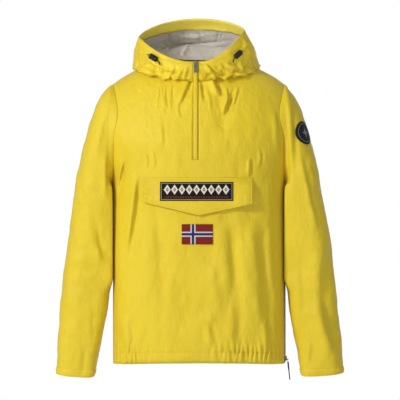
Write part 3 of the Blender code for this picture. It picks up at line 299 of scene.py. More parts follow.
@dataclass(frozen=True)
class Torso:
    """Form of the body: level sections are superellipses that close over the shoulders."""

    centre_x: float = -0.0013
    zip_x: float = -0.0085
    zip_half_width: float = 0.006
    seam: float = 0.0005
    hem: float = -0.701
    hem_arch: float = 0.006
    hem_half_width: float = 0.2058
    channel: float = 0.027
    armpit: float = -0.275
    shoulder_x: float = 0.205
    neck_x: float = 0.088
    neck_z: float = 0.03
    neck_front_z: float = -0.03
    neck_back_z: float = 0.022
    cap_start: float = -0.2
    squareness: float = 2.4
    neck_share: float = 0.45
    caps: ClassVar[dict[Face, float]] = {Face.FRONT: 1.8, Face.BACK: 2.2}
    ridge: ClassVar[Table] = table("x y", "0 0.012; 0.09 0.01; 0.24 -0.002")
    body: ClassVar[Table] = table("z half_width front back", """
        -.72 .2052 .112 .117; -.674 .2058 .118 .122; -.6 .2058 .124 .124; -.45 .2058 .129 .124; -.33 .2058 .134 .125;
        -.275 .207 .136 .127; -.2 .22 .137 .13; -.12 .235 .137 .131; .06 .24 .137 .131""")
    shoulder: ClassVar[Table] = table("x z", """
        0 .05; .088 .03; .155 0; .205 -.032; .23 -.064""")
    armhole: ClassVar[Table] = table("height front back", """
        0 .207 .207; .1 .2038 .205; .22 .2022 .204; .45 .2018 .203; .6 .1955 .199; .72 .192 .197; .86 .197 .1995;
        1 .205 .205""")
    folds: ClassVar[dict[Face, Table]] = tables(
        Face, "top_x top_z low_x low_z half_width depth", """
            -.16 -.362 -.17 -.63 .017 .006; -.103 -.33 -.11 -.63 .015 .005; -.039 -.43 -.036 -.65 .02 .003;
            .066 -.362 .08 -.645 .019 .0065; .14 -.395 .166 -.665 .018 .005; -.172 -.205 -.196 -.33 .013 .006;
            .046 -.052 .056 -.15 .013 .006; .086 -.04 .066 -.13 .011 .0045; .112 -.43 .118 -.6 .016 -.003""", """
            -.15 -.3 -.16 -.64 .018 .006; -.075 -.36 -.07 -.65 .018 .005; .01 -.3 .02 -.64 .02 .0045;
            .085 -.33 .095 -.65 .017 .006; .16 -.29 .165 -.62 .017 .0055; -.176 -.18 -.19 -.33 .013 .0055;
            .178 -.19 .19 -.33 .013 .0055""")

    def shoulder_z(self, x: Array) -> Array:
        """Height of the shoulder line at x; inside the neck it runs on as a low dome."""
        return ease(self.shoulder["x"], self.shoulder["z"], np.abs(x - self.centre_x))

    def half_width(self, z: Array) -> Array:
        """Half the body's width at z."""
        return ease(self.body["z"], self.body["half_width"], z)

    def depth_y(self, x: Array, z: Array, face: Face) -> Array:
        """Gives y on the front or back: a superellipse across, closing towards the shoulder line above the chest.

        Args:
            x: Places across.
            z: Heights.
            face: Which panel.

        Returns:
            y at each place.
        """
        aside, cap_power = np.abs(x - self.centre_x), self.caps[face]
        out = np.clip(aside / self.half_width(z), 0.0, 1.0)
        across = (1 - out**self.squareness) ** (1 / self.squareness)
        climb = np.clip((z - self.cap_start) / (self.shoulder_z(x) - self.cap_start), 0.0, 1.0)
        cap = (1 - climb**cap_power) ** (1 / cap_power)
        depth = ease(self.body["z"], self.body[face.word], z)
        deep = soft_folds(self.folds[face], x, z) * across * cap
        ridge = ease(self.ridge["x"], self.ridge["y"], aside)
        return ridge * climb**2 + face.value * (depth * across * cap - deep + self.seam / 2)

    def hem_z(self, x: Array) -> Array:
        """Height of the hem, a shallow arch that is highest at the centre."""
        return self.hem + self.hem_arch * (1 - np.clip(np.abs(x - self.centre_x) / self.hem_half_width, 0, 1) ** 2)

    def zip_edge(self, side: Side) -> float:
        """Gives x of the panel's edge beside the half zip."""
        return self.zip_x + side.value * (self.zip_half_width + self.seam)

    def neck_point(self, side: Side, turn: Array, start_x: float) -> Array:
        """Neckline from the zip or centre front (turn 0) past the neck point (0.5) to the centre back (1)."""
        angle = np.pi * turn
        x = (self.centre_x + side.value * self.neck_x * np.sin(angle)
             + (start_x - self.centre_x) * (1 + np.cos(angle)) / 2)
        low = np.where(turn < 0.5, self.neck_front_z, self.neck_back_z)
        z = low + (self.neck_z - low) * (1 - np.abs(np.cos(angle)))
        y = np.where(turn < 0.5, self.depth_y(x, z, Face.FRONT), self.depth_y(x, z, Face.BACK))
        return np.stack([x, y, z], -1)

    def half_panel(self, side: Side, face: Face, across: Array, up: Array, start_x: float) -> Array:
        """Half of the front or back.

        Args:
            side: Which half.
            face: Which panel.
            across: 0 at the centre to 1 at the side.
            up: -1 at the hem, 0 at the armpit and 1 at the shoulder and neckline.
            start_x: x of the half's inner edge.

        Returns:
            Points of the half.
        """
        across, up = np.broadcast_arrays(across, up)
        low, high = np.minimum(up, 0.0), np.maximum(up, 0.0)
        spread = np.sin(np.pi / 2 * across) ** (2 / self.squareness)
        neck_turn = 0.5 * np.clip(across / self.neck_share, 0, 1)
        if face is Face.BACK:
            neck_turn = 1 - neck_turn
        inner = start_x if face is Face.FRONT else self.centre_x
        neck = self.neck_point(side, neck_turn, inner)
        past_neck = np.clip((across - self.neck_share) / (1 - self.neck_share), 0, 1)
        neck_end = np.abs(self.neck_point(side, np.array(0.5), inner)[0] - self.centre_x)
        beyond = self.centre_x + side.value * (neck_end + (self.shoulder_x - neck_end) * past_neck)
        top_x = np.where(across < self.neck_share, neck[..., 0], beyond)
        top_z = np.where(across < self.neck_share, neck[..., 2], self.shoulder_z(top_x))
        edge = ease(self.armhole["height"], self.armhole[face.word], high)
        top_spread = (top_x - start_x) / (self.centre_x + side.value * self.shoulder_x - start_x)
        blend = smooth(0.0, 1.0, high)
        share = spread * (1 - blend) + top_spread * blend
        upper_x = start_x + (self.centre_x + side.value * edge - start_x) * share
        upper_z = self.armpit + high * (top_z - self.armpit)
        lower_z = self.armpit + low * (self.armpit - self.hem_z(upper_x))
        lower_x = start_x + (self.centre_x + side.value * self.half_width(lower_z) - start_x) * spread
        x = np.where(up > 0, upper_x, lower_x)
        z = np.where(up > 0, upper_z, lower_z)
        return np.stack([x, self.depth_y(x, z, face), z], -1)


@dataclass(frozen=True)
class SleeveForm:
    """Form of one sleeve: rings from the armhole to the cuff, each a superellipse."""

    side: Side
    torso: Torso
    squareness: float = 0.86
    inner_squareness: float = 0.45
    cuff_dip: float = 0.005
    fold_share: float = 0.35
    fold_span: float = 0.16
    off_body: float = 0.0002
    rings: ClassVar[dict[Side, Table]] = tables(
        Side, "outer_x outer_z inner_x inner_z half_depth middle_y",
        """
            .215 -.038 .2082 -.279 .074 0; .232 -.057 .2088 -.285 .076 0; .2462 -.083 .2092 -.294 .077 0;
            .262 -.129 .2093 -.308 .077 0; .284 -.22 .2093 -.336 .0765 .001; .2995 -.295 .2093 -.375 .075 .003;
            .3155 -.42 .2094 -.455 .071 .006; .3316 -.562 .2165 -.556 .061 0; .3395 -.67 .2368 -.665 .049 -.012;
            .3402 -.7235 .2492 -.729 .042 -.018""", """
            .213 -.0415 .2082 -.279 .074 0; .2265 -.0585 .2088 -.285 .076 0; .241 -.0852 .2092 -.294 .077 0;
            .257 -.129 .2093 -.308 .077 0; .2825 -.22 .2093 -.336 .0765 .001; .2962 -.295 .2093 -.375 .075 .003;
            .318 -.42 .2094 -.455 .071 .006; .334 -.562 .215 -.556 .061 0; .344 -.67 .235 -.662 .049 -.012;
            .3465 -.7205 .2448 -.7265 .043 -.018""")
    folds: ClassVar[Table] = table("turn height slant half_width depth", """
        .3 -.33 .06 .013 .004; .35 -.43 -.05 .012 .0035; .25 -.475 .045 .012 .004; .75 -.4 .05 .013 .004;
        .7 -.5 -.045 .012 .0035; .3 -.64 .05 .012 .0035""")

    def armhole(self, turn: Array) -> Array:
        """Armhole from the armpit (0) up the front to the shoulder (0.5) and down the back (1)."""
        height = (1 - np.cos(2 * np.pi * turn)) / 2
        across = np.ones_like(height)
        front = self.torso.half_panel(self.side, Face.FRONT, across, height, self.torso.zip_x)
        back = self.torso.half_panel(self.side, Face.BACK, across, height, self.torso.centre_x)
        points = np.where((turn < 0.5)[..., None], front, back)
        return points + np.array([self.side.value * self.off_body, 0.0, 0.0])

    def ring(self, row: dict[str, float], turn: Array) -> Array:
        """One ring: a superellipse from its inner point (turn 0) by the front, whose first quarter is squarer."""
        outer, inner = (np.array([self.torso.centre_x + self.side.value * row[f"{end}_x"], row[f"{end}_z"]])
                        for end in ("outer", "inner"))
        cosine, sine = np.cos(2 * np.pi * turn), np.sin(2 * np.pi * turn)
        squarer = (self.inner_squareness - self.squareness) * smooth(0.06, 0.13, -row["outer_z"])
        power = self.squareness + np.where((cosine > 0) & (sine > 0), squarer, 0.0)
        along = np.sign(cosine) * np.abs(cosine) ** power
        deep = np.sign(sine) * np.abs(sine) ** power
        flat = (outer + inner) / 2 + (inner - outer) / 2 * along[..., None]
        dip = self.cuff_dip * np.clip(sine, 0, 1) * smooth(0.66, 0.73, -row["outer_z"])
        return np.stack([flat[..., 0], row["middle_y"] - row["half_depth"] * deep, flat[..., 1] - dip], -1)

    def keys(self, turn: Array) -> Array:
        """The armhole and then every ring of the table, at the same turns."""
        return np.stack([self.armhole(turn)] + [self.ring(row, turn) for row in named_rows(self.rings[self.side])])

    def points(self, turn: Array, reach: Array) -> Array:
        """Surface of the sleeve.

        Args:
            turn: Round it from the underarm seam.
            reach: 0 at the armhole to 1 at the cuff.

        Returns:
            A grid with a row per reach and a column per turn.
        """
        middles = self.keys(np.linspace(0, 1, 24, endpoint=False)).mean(axis=1)
        stations = run_along(middles)
        stations /= stations[-1]
        points = ease(stations, self.keys(turn), reach)
        inward = unit(ease(stations, middles, reach)[:, None] - points)
        depth = np.zeros(points.shape[:-1])
        for fold in named_rows(self.folds):
            round_way = (turn - fold["turn"] + 0.5) % 1.0 - 0.5
            aside = points[..., 2] - fold["height"] - fold["slant"] * round_way
            depth += self.fold_share * fold["depth"] * np.exp(
                -((aside / fold["half_width"]) ** 2) - (round_way / self.fold_span) ** 2)
        return points + inward * depth[..., None]

    def at(self, turn: Array, reach: Array) -> Array:
        """Surface at single places, a turn and a reach for each."""
        every = np.arange(len(turn))
        return self.points(turn, reach)[every, every]


@dataclass(frozen=True)
class HoodForm:
    """Form of the hood: loops from the neck seam, out over the shoulders and up to the rim."""

    torso: Torso
    neck_lift: float = -0.0001
    rim_flatness: float = 1.2
    front_fullness: float = 0.75
    loop_columns: ClassVar[str] = "share front_y back_y right_x left_x front_z right_z left_z back_z dip"
    crown_seam: ClassVar[dict[Side, float]] = {Side.RIGHT: 0.8, Side.LEFT: 0.86}
    flush: ClassVar[dict[Side, Key]] = {Side.RIGHT: (0.13, 0.27), Side.LEFT: (0.07, 0.15)}
    facing: ClassVar[Table] = table("turn share", "0 0.86; 0.5 0.87; 1 0.87")
    loops: ClassVar[Table] = table(loop_columns, """
        .21 -.094 .125 .128 .127 -.021 .0265 .0275 -.012 .008; .39 -.098 .2 .1515 .1475 -.012 .0085 .012 -.025 .01;
        .55 -.101 .206 .153 .143 -.003 .031 .032 .023 .008; .77 -.102 .13 .148 .1315 .007 .056 .062 .086 .003;
        1 -.1 .072 .1375 .111 .017 .08 .096 .1305 0""")
    lining: ClassVar[Table] = table(loop_columns, """
        0 -.08 .067 .08 .08 -.023 .035 .035 .029 0; .22 -.083 .09 .099 .09 -.013 .041 .043 .04 0;
        .4 -.085 .112 .114 .102 -.006 .048 .052 .06 0; .55 -.086 .132 .124 .11 -.001 .053 .059 .066 0;
        .75 -.088 .114 .132 .115 .004 .059 .067 .086 0""")

    def loop(self, side: Side, row: dict[str, float], turn: Array) -> Array:
        """One loop round the hood, from the zip (turn 0) to the centre back (1)."""
        angle = np.pi * turn
        cosine = np.cos(angle)
        start_x = self.torso.zip_edge(side)
        x = (side.value * row[f"{side.word}_x"] * np.sin(angle) + self.torso.centre_x * (1 - cosine) / 2
             + start_x * (1 + cosine) / 2)
        swing = np.sign(cosine) * np.abs(cosine) ** np.where(cosine > 0, self.front_fullness, 1.0)
        y = (row["front_y"] + row["back_y"]) / 2 + (row["front_y"] - row["back_y"]) / 2 * swing
        to_front, to_back = np.clip(cosine, 0, 1) ** 2, np.clip(-cosine, 0, 1) ** self.rim_flatness
        z = to_front * row["front_z"] + to_back * row["back_z"] + (1 - to_front - to_back) * row[f"{side.word}_z"]
        z = z - row["dip"] * np.clip(np.sin(2 * angle), 0, 1) ** 2
        return np.stack([x, y, z], -1)

    def half(self, side: Side, turn: Array, share: Array) -> Array:
        """Shell surface of one side, with a row per share from the neck seam (0) to the rim (1)."""
        seam = self.torso.neck_point(side, turn, self.torso.zip_edge(side))
        seam = seam + np.array([0.0, 0.0, self.torso.seam + self.neck_lift])
        keys = [seam] + [self.loop(side, row, turn) for row in named_rows(self.loops)]
        flush = (1 - smooth(*self.flush[side], turn))[:, None]
        for number in (1, 2):
            along = self.loops["share"][number - 1] / self.loops["share"][2]
            keys[number] = keys[number] * (1 - flush) + flush * (keys[0] * (1 - along) + keys[3] * along)
        return ease(np.concatenate([[0.0], self.loops["share"]]), np.stack(keys), share)

    def shell(self, spans: int, share: Array) -> Array:
        """Shell all round, from the zip's right edge by the back to its left edge."""
        turn = np.linspace(0, 1, spans + 1)
        return round_the_back(self.half(Side.RIGHT, turn, share), self.half(Side.LEFT, turn, share))

    def facing_share(self, turn: Array) -> Array:
        """Share at which the facing ends, below the rim."""
        return ease(self.facing["turn"], self.facing["share"], turn)

    def lining_points(self, spans: int, share: Array, facing_edge: Array) -> Array:
        """Lining all round, from inside the neck seam up to the facing's lower edge."""
        turn = np.linspace(0, 1, spans + 1)
        right, left = (np.stack([self.loop(side, row, turn) for row in named_rows(self.lining)]) for side in Side)
        keys = np.concatenate([round_the_back(right, left), facing_edge[None]])
        return ease(np.concatenate([self.lining["share"], [1.0]]), keys, share)


# Grids and meshes


def unit(vectors: Array) -> Array:
    """Scales vectors to a length of one."""
    return vectors / np.maximum(np.linalg.norm(vectors, axis=-1, keepdims=True), TINY)


def circle(count: int) -> Array:
    """Angles evenly round a full turn."""
    return np.linspace(0, 2 * np.pi, count, endpoint=False)


def nearest(values: Array, wanted: float) -> int:
    """Gives the number of the value that is nearest to the wanted one."""
    return int(np.argmin(np.abs(values - wanted)))


def both_ways(*stations: float) -> Array:
    """Gives stations on both sides of zero, with zero between them."""
    return np.array([-each for each in stations[::-1]] + [0.0, *stations])


def run_along(path: Array) -> Array:
    """Distance along a line of points up to each of them."""
    return np.concatenate([[0.0], np.cumsum(np.linalg.norm(np.diff(path, axis=0), axis=1))])


def along_path(at: Array, run: Array, values: Array) -> Array:
    """Reads points or directions at distances along a line."""
    return np.stack([np.interp(at, run, values[:, axis]) for axis in range(3)], -1)


def closed_up(points: Array) -> Array:
    """Gives a grid its first column again at its end."""
    return np.concatenate([points, points[:, :1]], axis=1)


def round_the_back(right: Array, left: Array) -> Array:
    """Joins two halves that each run to the centre back into one grid from right to left."""
    return np.concatenate([right, left[:, ::-1][:, 1:]], axis=1)


def grid_normals(points: Array, closed: bool = False) -> Array:
    """Unit directions out of a grid: at each point the mean of the normals of the quads round it."""
    if closed:
        points = closed_up(points)
    quads = unit(np.cross(points[1:, 1:] - points[:-1, :-1], points[1:, :-1] - points[:-1, 1:]))
    total = np.zeros_like(points)
    for down in (0, 1):
        for right in (0, 1):
            total[down:points.shape[0] - 1 + down, right:points.shape[1] - 1 + right] += quads
    if closed:
        total[:, 0] += total[:, -1]
        total = total[:, :-1]
    return unit(total)


def outward(points: Array, heart: Array, closed: bool = False) -> Array:
    """Unit directions out of a grid that point away from the heart."""
    found = grid_normals(points, closed)
    return found if float(np.sum(found * (points - heart))) > 0 else -found


def run_lengths(points: Array, axis: int) -> Array:
    """Mean length along rows (axis 1) or columns (axis 0) up to each step, in metres."""
    steps = np.linalg.norm(np.diff(points, axis=axis), axis=-1).mean(axis=1 - axis)
    return np.concatenate([[0.0], np.cumsum(steps)])


def tuck(points: Array, normal: Array, edges: Sequence[Edge], deep: float) -> Array:
    """Turns edges inwards, as a seam allowance does: each gets three more lines of points, rolled over the edge.

    Args:
        points: The grid.
        normal: Unit directions out of it.
        edges: Which edges to turn in.
        deep: How far in they go.

    Returns:
        The larger grid.
    """
    for edge in edges:
        grid, out = edge.first(points), edge.first(normal)
        away = unit(grid[0] - grid[1])
        rolled = [grid[0] + away * past - out[0] * below
                  for past, below in ((0.0001, deep), (0.0002, 0.0016), (0.0001, 0.0004))]
        points = edge.back(np.concatenate([np.stack(rolled), grid]))
        normal = edge.back(np.concatenate([np.repeat(out[:1], ROLLED, axis=0), out]))
    return points


def grid_quads(rows: int, columns: int, closed: bool) -> tuple[Array, Array, Array]:
    """Row and column of each quad of a grid, and its corners: along its lower row and back along the upper one."""
    row, column = (each.ravel() for each in np.mgrid[0:rows - 1, 0:columns if closed else columns - 1])
    low, beside = row * columns, (column + 1) % columns
    return row, column, np.stack([low + column, low + beside, low + columns + beside, low + columns + column], -1)


def grid_mesh(name: str, points: Array, heart: Array, closed: bool = False,
              left_out: Callable[[Array, Array], Array] | None = None, capped: bool = False) -> bpy.types.Mesh:
    """Puts a grid into a mesh of quads that face away from the heart, with its runs in metres as its UV map.

    Args:
        name: The mesh's name.
        points: The grid.
        heart: A point, or points, inside the garment.
        closed: Whether the last column joins the first.
        left_out: Takes row and column of each quad and says which the sheet doesn't have.
        capped: Whether the first row is filled in.

    Returns:
        The mesh.
    """
    row, column, quads = grid_quads(*points.shape[:2], closed)
    if left_out is not None:
        kept = ~left_out(row, column)
        row, column, quads = row[kept], column[kept], quads[kept]
    ring = closed_up(points) if closed else points
    u, v = run_lengths(ring, 1), run_lengths(ring, 0)
    corners = np.stack([np.stack([u[column + right], v[row + up]], -1)
                        for right, up in ((0, 0), (1, 0), (1, 1), (0, 1))], 1)
    faces_in = float(np.sum(grid_normals(points, closed) * (points - heart))) < 0
    if faces_in:
        quads, corners = quads[:, ::-1], corners[:, ::-1]
    faces, uv = quads.tolist(), corners.reshape(-1, 2)
    if capped:
        lid = np.arange(points.shape[1])[::1 if faces_in else -1]
        faces.append(lid.tolist())
        uv = np.concatenate([uv, np.stack([u[lid], np.zeros(len(lid))], -1)])
    mesh = bpy.data.meshes.new(name)
    mesh.from_pydata(points.reshape(-1, 3).tolist(), [], faces)
    mesh.uv_layers.new(name="runs").data.foreach_set("uv", uv.astype(np.float32).ravel())
    mesh.shade_smooth()
    mesh.update()
    return mesh


def joined_mesh(name: str, grids: Sequence[Array], capped: bool = True) -> bpy.types.Mesh:
    """Joins many small grids of the same shape, whose rows are closed rings, into one mesh that faces outwards.

    Args:
        name: The mesh's name.
        grids: The grids.
        capped: Whether the end rings are filled in.

    Returns:
        The mesh.
    """
    stack = np.stack(grids)
    count, rows, columns = stack.shape[:3]
    quads = grid_quads(rows, columns, True)[2][:, [0, 3, 2, 1]]
    start = np.arange(count)[:, None, None] * rows * columns
    faces = (quads[None] + start).reshape(-1, 4).tolist()
    if capped:
        first = np.arange(columns)
        last = (rows - 1) * columns + first[::-1]
        faces += (first[None] + start[:, 0]).tolist() + (last[None] + start[:, 0]).tolist()
    mesh = bpy.data.meshes.new(name)
    mesh.from_pydata(stack.reshape(-1, 3).tolist(), [], faces)
    mesh.shade_smooth()
    mesh.validate()
    mesh.update()
    turn_outwards(mesh, stack.reshape(-1, 3).astype(np.float32))
    return mesh


def turn_outwards(mesh: bpy.types.Mesh, points: Array) -> None:
    """Turns a closed mesh's faces outwards where its volume comes out negative."""
    mesh.calc_loop_triangles()
    triangles = np.empty(len(mesh.loop_triangles) * 3, np.int32)
    mesh.loop_triangles.foreach_get("vertices", triangles)
    corners = points[triangles.reshape(-1, 3)].astype(float)
    if np.sum(corners[:, 0] * np.cross(corners[:, 1], corners[:, 2])) < 0:
        mesh.flip_normals()


def tube(path: Array, radius: float, sides: int) -> Array:
    """Rings along a path: a circle square to the path at each of its points, not twisting from one to the next.

    Args:
        path: Points of the middle line.
        radius: Radius of the rings.
        sides: Points round each ring.

    Returns:
        A grid with a row per point of the path, closed round.
    """
    along = unit(np.gradient(path, axis=0))
    first = np.cross(along[0], [0.0, 0.0, 1.0] if abs(along[0, 2]) < 0.9 else [1.0, 0.0, 0.0])
    frames = [unit(first)]
    for direction in along[1:]:
        frames.append(unit(frames[-1] - direction * (frames[-1] @ direction)))
    first = np.stack(frames)[:, None]
    second = np.cross(along[:, None], first)
    angle = circle(sides)[:, None]
    return path[:, None] + (first * np.cos(angle) + second * np.sin(angle)) * radius


def add_piece(name: str, mesh: bpy.types.Mesh, finish: bpy.types.Material,
              stands_for: Sequence[str] = (), body: str = BODY) -> bpy.types.Object:
    """Links a mesh as a piece that rides on a body.

    Args:
        name: The piece's name.
        mesh: Its mesh.
        finish: Its material.
        stands_for: The nodes it replaces.
        body: The body it rides on.

    Returns:
        The piece.
    """
    piece = bpy.data.objects.new(name, mesh)
    bpy.context.scene.collection.objects.link(piece)
    mesh.materials.append(finish)
    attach(piece, body)
    if stands_for:
        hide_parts(*stands_for)
    LOG.info("%s: %d faces", name, len(mesh.polygons))
    return piece


def add_sheet(name: str, stands_for: str, points: Array, heart: Array, finish: bpy.types.Material,
              wall: float = WALL, closed: bool = False, disc: bool = False,
              left_out: Callable[[Array, Array], Array] | None = None) -> bpy.types.Object:
    """Adds a grid as a piece of cloth: gives it a wall inwards and says how it is cut and held.

    Args:
        name: The piece's name.
        stands_for: The node it replaces.
        points: The grid, with its edges turned in.
        heart: A point, or points, inside the garment.
        finish: Its material.
        wall: Its thickness.
        closed: Whether the last column joins the first.
        disc: Whether the rows are rings of a disc, whose middle is filled in.
        left_out: Takes row and column of each quad and says which the sheet doesn't have.

    Returns:
        The piece.
    """
    mesh = grid_mesh(name, points, heart, closed, left_out, disc)
    piece = add_piece(name, mesh, finish, (stands_for,))
    solid = piece.modifiers.new("wall", "SOLIDIFY")
    solid.thickness, solid.offset, solid.use_quality_normals = wall, -1.0, True
    return piece


# Shader groups and finishes


@dataclass
class Wiring:
    """Short hands for adding shader nodes to a tree and joining them."""

    tree: bpy.types.NodeTree

    def node(self, kind: str, **settings: object) -> bpy.types.Node:
        """Adds a node and sets its properties."""
        made = self.tree.nodes.new(f"ShaderNode{kind}")
        for label, value in settings.items():
            setattr(made, label, value)
        return made

    def join(self, value: object, target: Socket) -> None:
        """Joins a socket to the target, or sets the target to a number or a colour."""
        if isinstance(value, Socket):
            self.tree.links.new(value, target)
        else:
            target.default_value = value

    def feed(self, node: bpy.types.Node, **inputs: object) -> bpy.types.Node:
        """Joins values to a node's named inputs, an underscore for each space, and gives the node."""
        for label, value in inputs.items():
            self.join(value, node.inputs[label.replace("_", " ")])
        return node

    def take(self, kind: str, *values: object, **settings: object) -> Socket:
        """Adds a node, joins values to its first inputs and gives its first output."""
        made = self.node(kind, **settings)
        for value, target in zip(values, made.inputs):
            self.join(value, target)
        return made.outputs[0]

    def math(self, operation: str, *values: object) -> Socket:
        """Adds a Math node and gives its result."""
        return self.take("Math", *values, operation=operation)

    def times(self, first: object, second: object) -> Socket:
        """Multiplies two numbers."""
        return self.math("MULTIPLY", first, second)

    def size(self, value: object) -> Socket:
        """Gives a number without its sign."""
        return self.math("ABSOLUTE", value)

    def apart(self, first: object, second: object) -> Socket:
        """Gives how far apart two numbers are."""
        return self.size(self.math("SUBTRACT", first, second))

    def mix(self, share: object, first: object, second: object) -> Socket:
        """Mixes two colours and gives the result."""
        made = self.node("Mix", data_type="RGBA")
        for value, number in ((share, 0), (first, 6), (second, 7)):
            self.join((*value, 1.0) if isinstance(value, tuple) else value, made.inputs[number])
        return made.outputs[2]

    def spread(self, value: object, from_low: float, from_high: float, low: float = 0.0, high: float = 1.0) -> Socket:
        """Maps a number from one range to another, held at its ends."""
        return self.take("MapRange", value, from_low, from_high, low, high)

    def within(self, value: object, low: float, high: float) -> Socket:
        """Gives 1 where a number is below low, falling to 0 at high."""
        return self.spread(value, low, high, 1.0, 0.0)

    def parts(self, vector: Socket) -> tuple[Socket, ...]:
        """Splits a vector into x, y and z."""
        return tuple(self.feed(self.node("SeparateXYZ"), Vector=vector).outputs)

    def noise(self, vector: Socket, scale: float, detail: float = 2.0, rough: float = 0.5,
              stretch: Spot = (1.0, 1.0, 1.0)) -> Socket:
        """Adds noise on a stretched vector and gives its factor."""
        sized = self.take("VectorMath", vector, stretch, operation="MULTIPLY")
        return self.feed(self.node("TexNoise"), Vector=sized, Scale=scale, Detail=detail, Roughness=rough).outputs[0]

    def bump(self, height: object, distance: float, strength: float, **below: Socket) -> Socket:
        """Adds a Bump node, over the Normal of another where one is given, and gives its normal."""
        return self.feed(self.node("Bump"), Distance=distance, Strength=strength, Height=height, **below).outputs[0]

    def place(self) -> Socket:
        """Gives object coordinates."""
        return self.node("TexCoord").outputs["Object"]

    def runs(self, name: str = "runs") -> Socket:
        """Gives one of the mesh's own maps."""
        return self.take("UVMap", uv_map=name)

    def group(self, tree: bpy.types.NodeTree, **inputs: object) -> Sequence[Socket]:
        """Places a node group with values of its own and gives its outputs."""
        return self.feed(self.node("Group", node_tree=tree), **inputs).outputs

    def given(self, label: str) -> Socket:
        """Gives an input of the group that this tree is."""
        return self.tree.nodes["in"].outputs[label]

    def finished(self, **outputs: Socket) -> bpy.types.NodeTree:
        """Joins the outputs of the group that this tree is, and gives it."""
        self.feed(self.tree.nodes["out"], **outputs)
        return self.tree

    def shade(self, **inputs: object) -> None:
        """Joins values to the inputs of the material's Principled shader."""
        self.feed(self.tree.nodes["Principled BSDF"], **inputs)


def start_group(name: str, vector: str, numbers: dict[str, float], outputs: Sequence[str]) -> Wiring:
    """Starts a shader node group.

    Args:
        name: The group's name.
        vector: Name of its vector input.
        numbers: Name and default of its other inputs.
        outputs: Names of its outputs, all numbers.

    Returns:
        The wiring of the group, with its input and output nodes in it.
    """
    group = bpy.data.node_groups.new(name, "ShaderNodeTree")
    group.interface.new_socket(name=vector, in_out="INPUT", socket_type="NodeSocketVector")
    for label, default in numbers.items():
        socket = group.interface.new_socket(name=label, in_out="INPUT", socket_type="NodeSocketFloat")
        socket.default_value = default
    for label in outputs:
        group.interface.new_socket(name=label, in_out="OUTPUT", socket_type="NodeSocketFloat")
    group.nodes.new("NodeGroupInput").name = "in"
    group.nodes.new("NodeGroupOutput").name = "out"
    return Wiring(group)


def weave_group() -> bpy.types.NodeTree:
    """Plain weave: threads both ways, one over the other by turns. Height is the product of their sines."""
    net = start_group("plain_weave", "Runs", {"Thread": 0.0006}, ("Height", "Shade"))
    runs = net.given("Runs")
    x, y, _ = net.parts(runs)
    rate = net.math("DIVIDE", math.pi, net.given("Thread"))
    over, under = (net.math("SINE", net.times(each, rate)) for each in (x, y))
    ribs = net.math("MAXIMUM", net.size(over), net.size(under))
    height = net.math("ADD", net.times(net.times(over, under), 0.5), ribs)
    return net.finished(Height=height, Shade=net.noise(runs, 900.0, 1.0, 0.5, (0.05, 1.0, 1.0)))


def crinkle_group() -> bpy.types.NodeTree:
    """Crinkle of worn thin cloth: creased noise in two sizes, longer up and down than across."""
    net = start_group("crinkle", "Place", {}, ("Height", "Fold"))
    place = net.given("Place")
    large = net.noise(place, 55.0, 3.0, 0.55, (1.0, 1.0, 0.42))
    small = net.noise(place, 150.0, 3.0, 0.6, (1.0, 1.0, 0.6))
    ridged, fine = (net.math("SUBTRACT", 1.0, net.size(net.math("MULTIPLY_ADD", each, 3.0, -1.5)))
                    for each in (large, small))
    return net.finished(Height=net.math("ADD", ridged, net.times(fine, 0.4)), Fold=large)


def wear_group() -> bpy.types.NodeTree:
    """Soft uneven tone, as of cloth that has been handled: slow noise with a little fine noise in it."""
    net = start_group("uneven_tone", "Place", {}, ("Tone",))
    slow, fine = (net.noise(net.given("Place"), *each, 0.6) for each in ((9.0, 3.0), (320.0, 2.0)))
    return net.finished(Tone=net.math("ADD", net.times(slow, 0.75), net.times(fine, 0.25)))


@dataclass
class SharedGroups:
    """The node groups that several finishes use, each built once."""

    weave: bpy.types.NodeTree = field(default_factory=weave_group)
    crinkle: bpy.types.NodeTree = field(default_factory=crinkle_group)
    tone: bpy.types.NodeTree = field(default_factory=wear_group)


def start_material(name: str) -> tuple[bpy.types.Material, Wiring]:
    """Makes a material and gives it with its wiring."""
    made = bpy.data.materials.new(name)
    made.use_nodes = True
    return made, Wiring(made.node_tree)


@dataclass(frozen=True)
class Finish:
    """A material of the garment."""

    name: str

    def make(self, groups: SharedGroups) -> bpy.types.Material:
        """Builds the material."""
        made, net = start_material(self.name)
        self.wire(net, groups)
        return made

    def wire(self, net: Wiring, groups: SharedGroups) -> None:
        """Joins up the shader; each kind of finish has its own way."""
        raise NotImplementedError


@dataclass(frozen=True)
class WovenFinish(Finish):
    """Woven cloth: weave, crinkle and uneven tone."""

    colour: Colour
    shade: Colour
    roughness: float
    sheen: float
    thread: float
    crinkle: float

    def wire(self, net: Wiring, groups: SharedGroups) -> None:
        """Joins up the shader."""
        place = net.place()
        weave = net.group(groups.weave, Runs=net.runs(), Thread=self.thread)
        crinkle = net.group(groups.crinkle, Place=place)
        tone = net.group(groups.tone, Place=place)["Tone"]
        share = net.math("MULTIPLY_ADD", weave["Shade"], 0.25, net.times(net.spread(tone, 0.35, 0.65), 0.75))
        creased = net.bump(crinkle["Height"], 0.0012, self.crinkle)
        net.shade(
            Base_Color=net.mix(share, self.shade, self.colour),
            Roughness=net.spread(crinkle["Fold"], 0.3, 0.7, self.roughness - 0.06, self.roughness + 0.06),
            Normal=net.bump(weave["Height"], self.thread * 0.25, 0.5, Normal=creased),
            Sheen_Weight=self.sheen, Sheen_Roughness=0.45, Specular_IOR_Level=0.35)


